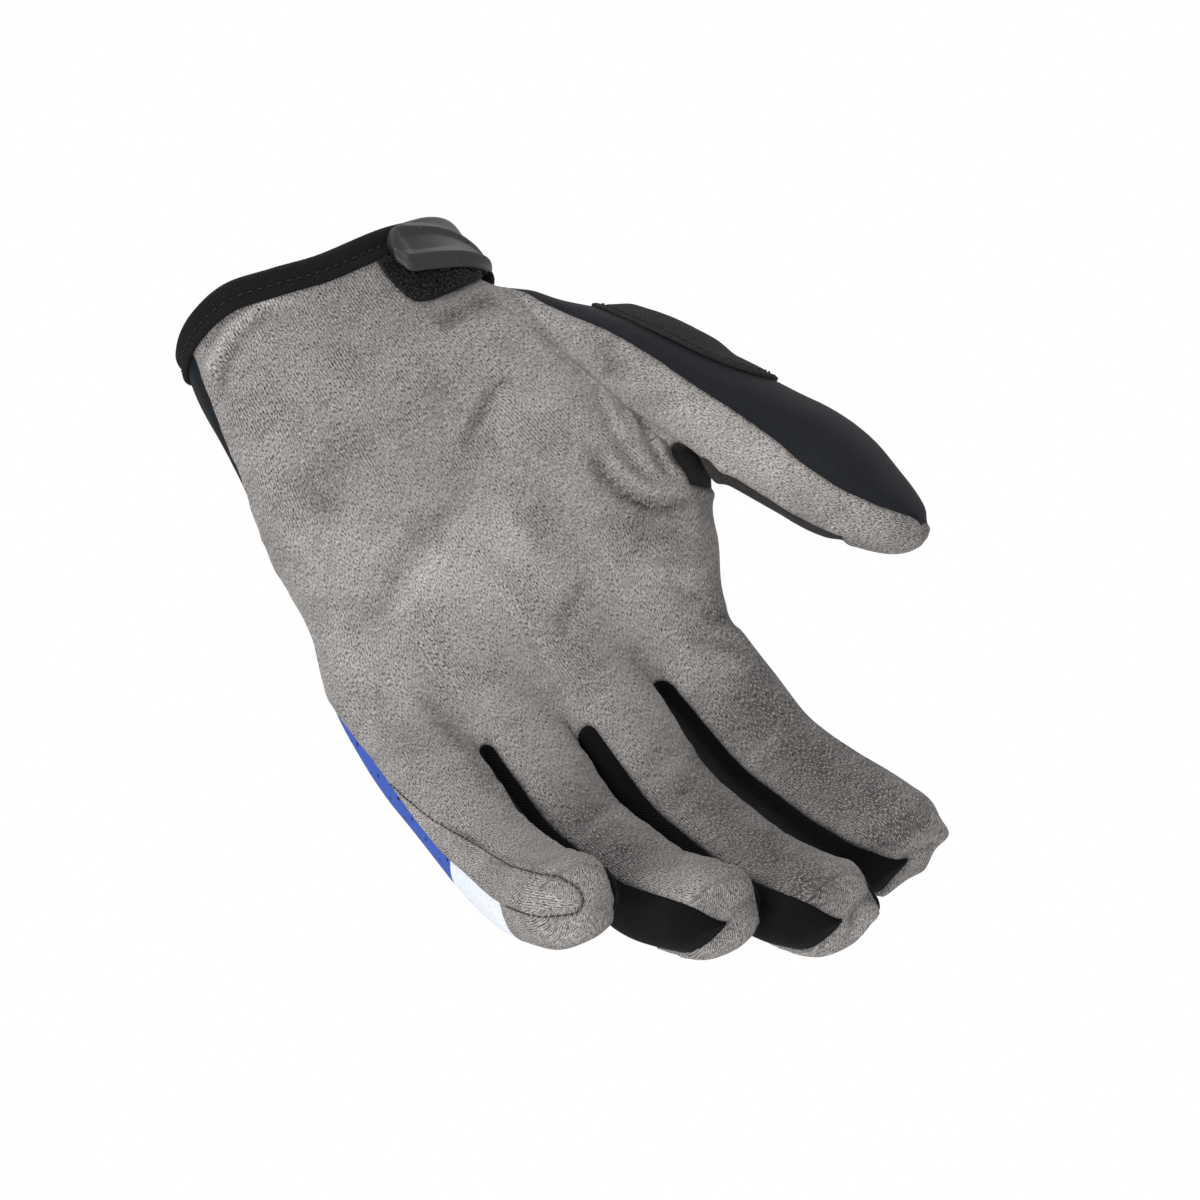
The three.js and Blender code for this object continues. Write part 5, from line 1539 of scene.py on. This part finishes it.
@functools.cache
def finish(name):
    """Materials by piece, each made once with the colours that the panel holds."""
    held = bpy.context.scene.glove_colours
    c = {key: tuple(getattr(held, key)) for key in type(held).__annotations__}
    nap = (c["suede"], c["suede_dark"], c["suede_light"])
    makers = {
        "palm": lambda: suede("brushed_microsuede", *nap),
        "overlay": lambda: suede("brushed_microsuede_cross_grain", *nap, turn=math.radians(35)),
        "crotch": lambda: suede("dark_goat_suede", c["patch"], c["patch_dark"], c["patch_light"], 0.6),
        "back": lambda: printed_knit("printed_stretch_knit", c),
        "thumb": lambda: plain_cloth("woven_stretch_nylon", c["stretch"], c["stretch_yarn"], 0.6, 35, 0.1),
        "side": lambda: ribbed("ribbed_nylon_knit", c["side"], c["side_ridge"], 0.85, 0.35, 0.2),
        "tape": lambda: plain_cloth("ribbed_elastic_tape", c["tape"], c["tape_yarn"], 0.7, 0, 0.08),
        "thread": lambda: plastic("polyester_thread", c["thread"], c["thread"], 0.3, 0.05, 0.6),
        "grey_thread": lambda: plastic(
            "grey_polyester_thread", c["grey_thread"], c["thread"], 0.3, 0.05, 0.7),
        "backing": lambda: plain_cloth("woven_nylon_backing", c["pile"], c["pile_light"], 0.7, 0, 0.1),
        # The pile's second colour is painted highlight on some of its loops, laid in random clouds
        "pile": lambda: plastic("nylon_loop_pile", c["pile"], c["pile_light"], 0.22, 0.03, 0.5),
        "rubber": lambda: plastic(
            "moulded_thermoplastic_rubber", c["rubber"], c["rubber_worn"], 0.35, 0.04, 0.5, 0.25),
    }
    return makers[name]()


def length_value(name, description, mm, most=20.0):
    """A length in metres for the panel, given in mm."""
    return bpy.props.FloatProperty(name=name, description=description, default=mm * MM,
                                   min=0.0, max=most * MM, unit="LENGTH", precision=5)


def colour_value(name, description, code):
    """A colour for the panel, given as an sRGB hex code."""
    return bpy.props.FloatVectorProperty(name=name, description=description, default=linear(code),
                                         size=3, min=0.0, max=1.0, subtype="COLOR")


class GloveForm(bpy.types.PropertyGroup):
    """Thicknesses and folds of the cloth."""
    palm_cloth: length_value("Palm thickness", "Thickness of the suede", 1.5)
    back_cloth: length_value("Back thickness", "Thickness of the knit and of the thumb's stretch cloth", 1.5)
    side_cloth: length_value("Side thickness", "Thickness of the finger sides and the crotch patch", 1.0)
    seam_depth: length_value("Seam depth", "How deep a seam lies between two cloths", 0.5)
    pucker: length_value("Gathers", "Height of the small gathers beside a seam", 0.28)
    wave: length_value("Waviness", "Height of the slow unevenness of worn cloth", 0.28)
    swell: length_value("Strip swell", "How far the finger sides swell between their seams", 0.9)
    crease: bpy.props.FloatProperty(name="Creases", description="Share of the creases' height",
                                    default=1.6, min=0.0, max=3.0, subtype="FACTOR")
    # Share of the strokes of painted light and shade on the suede, partly brushing of the nap
    nap: bpy.props.FloatProperty(name="Nap", description="Share of the brushing of the suede",
                                 default=1.0, min=0.0, max=3.0, subtype="FACTOR")


class GloveTrim(bpy.types.PropertyGroup):
    """Sizes of the binding, the threads and the loop patch."""
    rib_pitch: length_value("Rib pitch", "Distance between the ribs of the elastic tape", 0.62)
    rib_height: length_value("Rib height", "Height of the ribs of the elastic tape", 0.09)
    stitch_pitch: length_value("Stitch pitch", "Length of one stitch and its gap", 2.2)
    thread_radius: length_value("Thread radius", "Half the thickness of the sewing thread", 0.18)
    loop_pitch: length_value("Loop pitch", "Distance between the loops of the patch", 0.8)
    loop_size: length_value("Loop size", "Width of one loop of the pile", 1.0)


class GloveColours(bpy.types.PropertyGroup):
    """Colours of the cloths, the threads and the rubber."""
    suede: colour_value("Suede", "Palm suede", "b0aba9")
    # The dark and light nap colours of both suedes also carry painted shade and painted highlights on
    # creases, gathers, strokes and seams
    suede_dark: colour_value("Suede, dark nap", "Palm suede where the nap lies away", "434140")
    suede_light: colour_value("Suede, light nap", "Palm suede where the nap lies towards the eye", "d3cecb")
    patch: colour_value("Patch suede", "Dark suede of the thumb pad and the crotch", "2b2927")
    patch_dark: colour_value("Patch suede, dark nap", "Dark suede where the nap lies away", "211e1c")
    patch_light: colour_value("Patch suede, light nap", "Dark suede where the nap lies towards the eye",
                              "3a3632")
    back_black: colour_value("Back at the wrist", "Black part of the printed knit", "0f1114")
    back_blue: colour_value("Back over the hand", "Blue part of the printed knit", "3c59ad")
    back_shade: colour_value("Back shade", "Tint that darkens the print in places", "c8d0e8")
    back_white: colour_value("Back at the finger ends", "White part of the printed knit", "dde2ec")
    stretch: colour_value("Thumb cloth", "Stretch cloth on the thumb's back", "15171b")
    stretch_yarn: colour_value("Thumb cloth yarn", "Raised yarns of that cloth", "252931")
    side: colour_value("Finger sides", "Furrows of the ribbed strips", "030304")
    side_ridge: colour_value("Finger side ridges", "Ridges of the ribbed strips", "0e0f10")
    tape: colour_value("Cuff tape", "Elastic tape", "0b0c0e")
    tape_yarn: colour_value("Cuff tape yarn", "Raised yarns of the tape", "191b1e")
    thread: colour_value("Black thread", "Thread of the cuff and the pad", "1a1b1c")
    grey_thread: colour_value("Grey thread", "Thread of the suede overlay", "2f2c2a")
    pile: colour_value("Loop pile", "Loops of the patch", "020203")
    pile_light: colour_value("Loop pile, lit", "Loops of the patch where they catch the light", "353637")
    rubber: colour_value("Rubber", "Closure tab", "2b2b2c")
    rubber_worn: colour_value("Rubber, worn", "Closure tab where it is rubbed", "303031")


class GLOVE_OT_cloth(bpy.types.Operator):
    """Sew the palm, back, finger sides, thumb back and crotch patch"""
    bl_idname = "glove.cloth"
    bl_label = "Cloth panels"

    def execute(self, context):
        """Makes one closed piece for each panel."""
        form = context.scene.glove_form
        palm, back, side = (getattr(form, key) / MM for key in ("palm_cloth", "back_cloth", "side_cloth"))
        finish_piece(panel_piece("palm_suede", PALM_FACE, palm), finish("palm"), "palm_suede", "palm_panel")
        finish_piece(panel_piece("back_knit", BACK_FACE, back), finish("back"), "back_print", "back_panel")
        finish_piece(panel_piece("thumb_back_stretch", THUMB_FACE, back), finish("thumb"), "thumb_stretch",
                     "thumb_back_panel")
        finish_piece(panel_piece("thumb_crotch_suede", CROTCH_FACE, side), finish("crotch"), "dark_suede",
                     "thumb_crotch_patch")
        for gap in SLOTS:
            pair = f"{gap['left']}_{gap['right']}"
            finish_piece(panel_piece(f"side_strip_{pair}", pair, side), finish("side"), "side_rib",
                         f"fourchette_{pair}")
        return {"FINISHED"}


class GLOVE_OT_plates(bpy.types.Operator):
    """Add the thumb's knuckle pad and the little finger's overlay"""
    bl_idname = "glove.plates"
    bl_label = "Pad and overlay"

    def execute(self, context):
        """Makes the padded knuckle piece and the second layer of suede, with their sewing."""
        trim = context.scene.glove_trim
        pitch, radius = trim.stitch_pitch / MM, trim.thread_radius / MM
        pad = finish_piece(thumb_pad(), finish("crotch"), "dark_suede", "thumb_knuckle_pad")
        layer = finger_overlay()
        line = overlay_line(layer)
        finish_piece(layer, finish("overlay"), "palm_suede", "little_finger_overlay")
        finish_piece(threads("overlay_stitches", *stitch_paths(*line, pitch * 0.6, 0.9), radius * 0.9),
                     finish("grey_thread"), "palm_suede")
        finish_piece(threads("pad_stitches", *stitch_paths(*pad_line(), pitch * 0.9), radius),
                     finish("thread"), "dark_suede")
        return {"FINISHED"}


class GLOVE_OT_closure(bpy.types.Operator):
    """Add the loop patch and the rubber tab"""
    bl_idname = "glove.closure"
    bl_label = "Closure"

    def execute(self, context):
        """Makes the patch's backing and pile and the moulded tab."""
        finish_piece(loop_backing(), finish("backing"), "loop_pile", "loop_patch")
        finish_piece(loop_pile(), finish("pile"), "loop_pile")
        finish_piece(rubber_tab(), finish("rubber"), "tab_rubber", "closure_tab")
        return {"FINISHED"}


class GLOVE_OT_binding(bpy.types.Operator):
    """Add the elastic binding of the cuff and its sewing"""
    bl_idname = "glove.binding"
    bl_label = "Cuff binding"

    def execute(self, context):
        """Makes the folded tape and its two rows of stitches."""
        trim = context.scene.glove_trim
        finish_piece(cuff_tape(), finish("tape"), "cuff_elastic", "cuff_binding")
        rows = [stitch_paths(*line, trim.stitch_pitch / MM) for line in cuff_lines()]
        paths, ups = (np.concatenate([row[k] for row in rows]) for k in (0, 1))
        finish_piece(threads("cuff_stitches", paths, ups, trim.thread_radius / MM),
                     finish("thread"), "cuff_elastic")
        return {"FINISHED"}


# Soft lights: name, place from the glove along the picture's right, up and towards the eye in metres, watts,
# size
LIGHTS = [("key", (-0.5, -0.4, 0.85), 8.0, 0.6), ("top", (-0.6, 0.9, 0.5), 4.0, 0.8),
          ("rim", (0.3, 0.9, -0.5), 3.0, 0.6)]
# Strength of the white room's light, where the backdrop itself shows at 1
AMBIENT = 0.62
FLOOR = {"half": 4.0, "height": -0.5, "grey": 0.85}


class GLOVE_OT_stage(bpy.types.Operator):
    """Set up the floor, the lights, the backdrop and the camera"""
    bl_idname = "glove.stage"
    bl_label = "Stage"

    def execute(self, context):
        """Makes a plain pale floor, soft lights, a white world and the camera of the photograph."""
        scene = context.scene
        mesh = bpy.data.meshes.new("floor")
        s, z = FLOOR["half"], FLOOR["height"]
        mesh.from_pydata([(-s, -s, z), (s, -s, z), (s, s, z), (-s, s, z)], [], [(0, 1, 2, 3)])
        floor = bpy.data.objects.new("floor", mesh)
        scene.collection.objects.link(floor)
        board = bpy.data.materials.new("matte_studio_board")
        board.use_nodes = True
        shader = board.node_tree.nodes["Principled BSDF"]
        shader.inputs["Base Color"].default_value = tone((FLOOR["grey"],) * 3)
        mesh.materials.append(board)
        right, up, back, target = (Vector(VIEW[key]) for key in ("right", "up", "back", "target"))
        for name, offset, power, size in LIGHTS:
            light = bpy.data.lights.new(name, "AREA")
            light.energy, light.size = power, size
            lamp = bpy.data.objects.new(name, light)
            scene.collection.objects.link(lamp)
            way = right * offset[0] + up * offset[1] + back * offset[2]
            lamp.location = target * MM + way
            lamp.rotation_euler = way.to_track_quat("Z", "Y").to_euler()
        world = bpy.data.worlds.new("white_studio")
        world.use_nodes = True
        tree = world.node_tree
        tree.nodes.clear()
        seen = put(tree, "LightPath", out="Is Camera Ray")
        ambient = put(tree, "MapRange", {0: seen, 3: AMBIENT, 4: 1.0})
        put(tree, "OutputWorld", put(tree, "Background", tone((1, 1, 1)), ambient))
        scene.world = world
        lens = bpy.data.cameras.new("camera")
        lens.sensor_width = 36.0
        lens.lens = VIEW["focal"] / VIEW["side"] * lens.sensor_width
        lens.clip_start, lens.clip_end = 0.05, 20.0
        camera = bpy.data.objects.new("camera", lens)
        scene.collection.objects.link(camera)
        pose = Matrix((right, up, back)).transposed().to_4x4()
        pose.translation = (target + back * VIEW["distance"]) * MM
        camera.matrix_world = pose
        scene.camera = camera
        scene.view_settings.view_transform = "Standard"
        return {"FINISHED"}


class GLOVE_PT_panel(bpy.types.Panel):
    """Sizes, colours and steps of the glove"""
    bl_label = "Motocross Glove"
    bl_idname = "GLOVE_PT_panel"
    bl_space_type = "VIEW_3D"
    bl_region_type = "UI"
    bl_category = "Glove"

    def draw(self, context):
        """Lists every value and every step."""
        for group in ("glove_form", "glove_trim", "glove_colours"):
            values = getattr(context.scene, group)
            box = self.layout.box()
            for key in type(values).__annotations__:
                box.prop(values, key)
        for step in STEPS:
            self.layout.operator(step.bl_idname)


STEPS = (GLOVE_OT_stage, GLOVE_OT_cloth, GLOVE_OT_plates, GLOVE_OT_closure, GLOVE_OT_binding)
GROUPS = {"glove_form": GloveForm, "glove_trim": GloveTrim, "glove_colours": GloveColours}


def register():
    """Makes the values and the steps known to Blender."""
    for kind in (*GROUPS.values(), *STEPS, GLOVE_PT_panel):
        bpy.utils.register_class(kind)
    for key, kind in GROUPS.items():
        setattr(bpy.types.Scene, key, bpy.props.PointerProperty(type=kind))


def unregister():
    """Takes them away again."""
    for key in GROUPS:
        delattr(bpy.types.Scene, key)
    for kind in reversed((*GROUPS.values(), *STEPS, GLOVE_PT_panel)):
        bpy.utils.unregister_class(kind)


def main():
    """Runs every step in order."""
    register()
    for step in STEPS:
        group, name = step.bl_idname.split(".")
        getattr(getattr(bpy.ops, group), name)()
    bpy.context.view_layer.update()


if __name__ == "__main__":
    main()
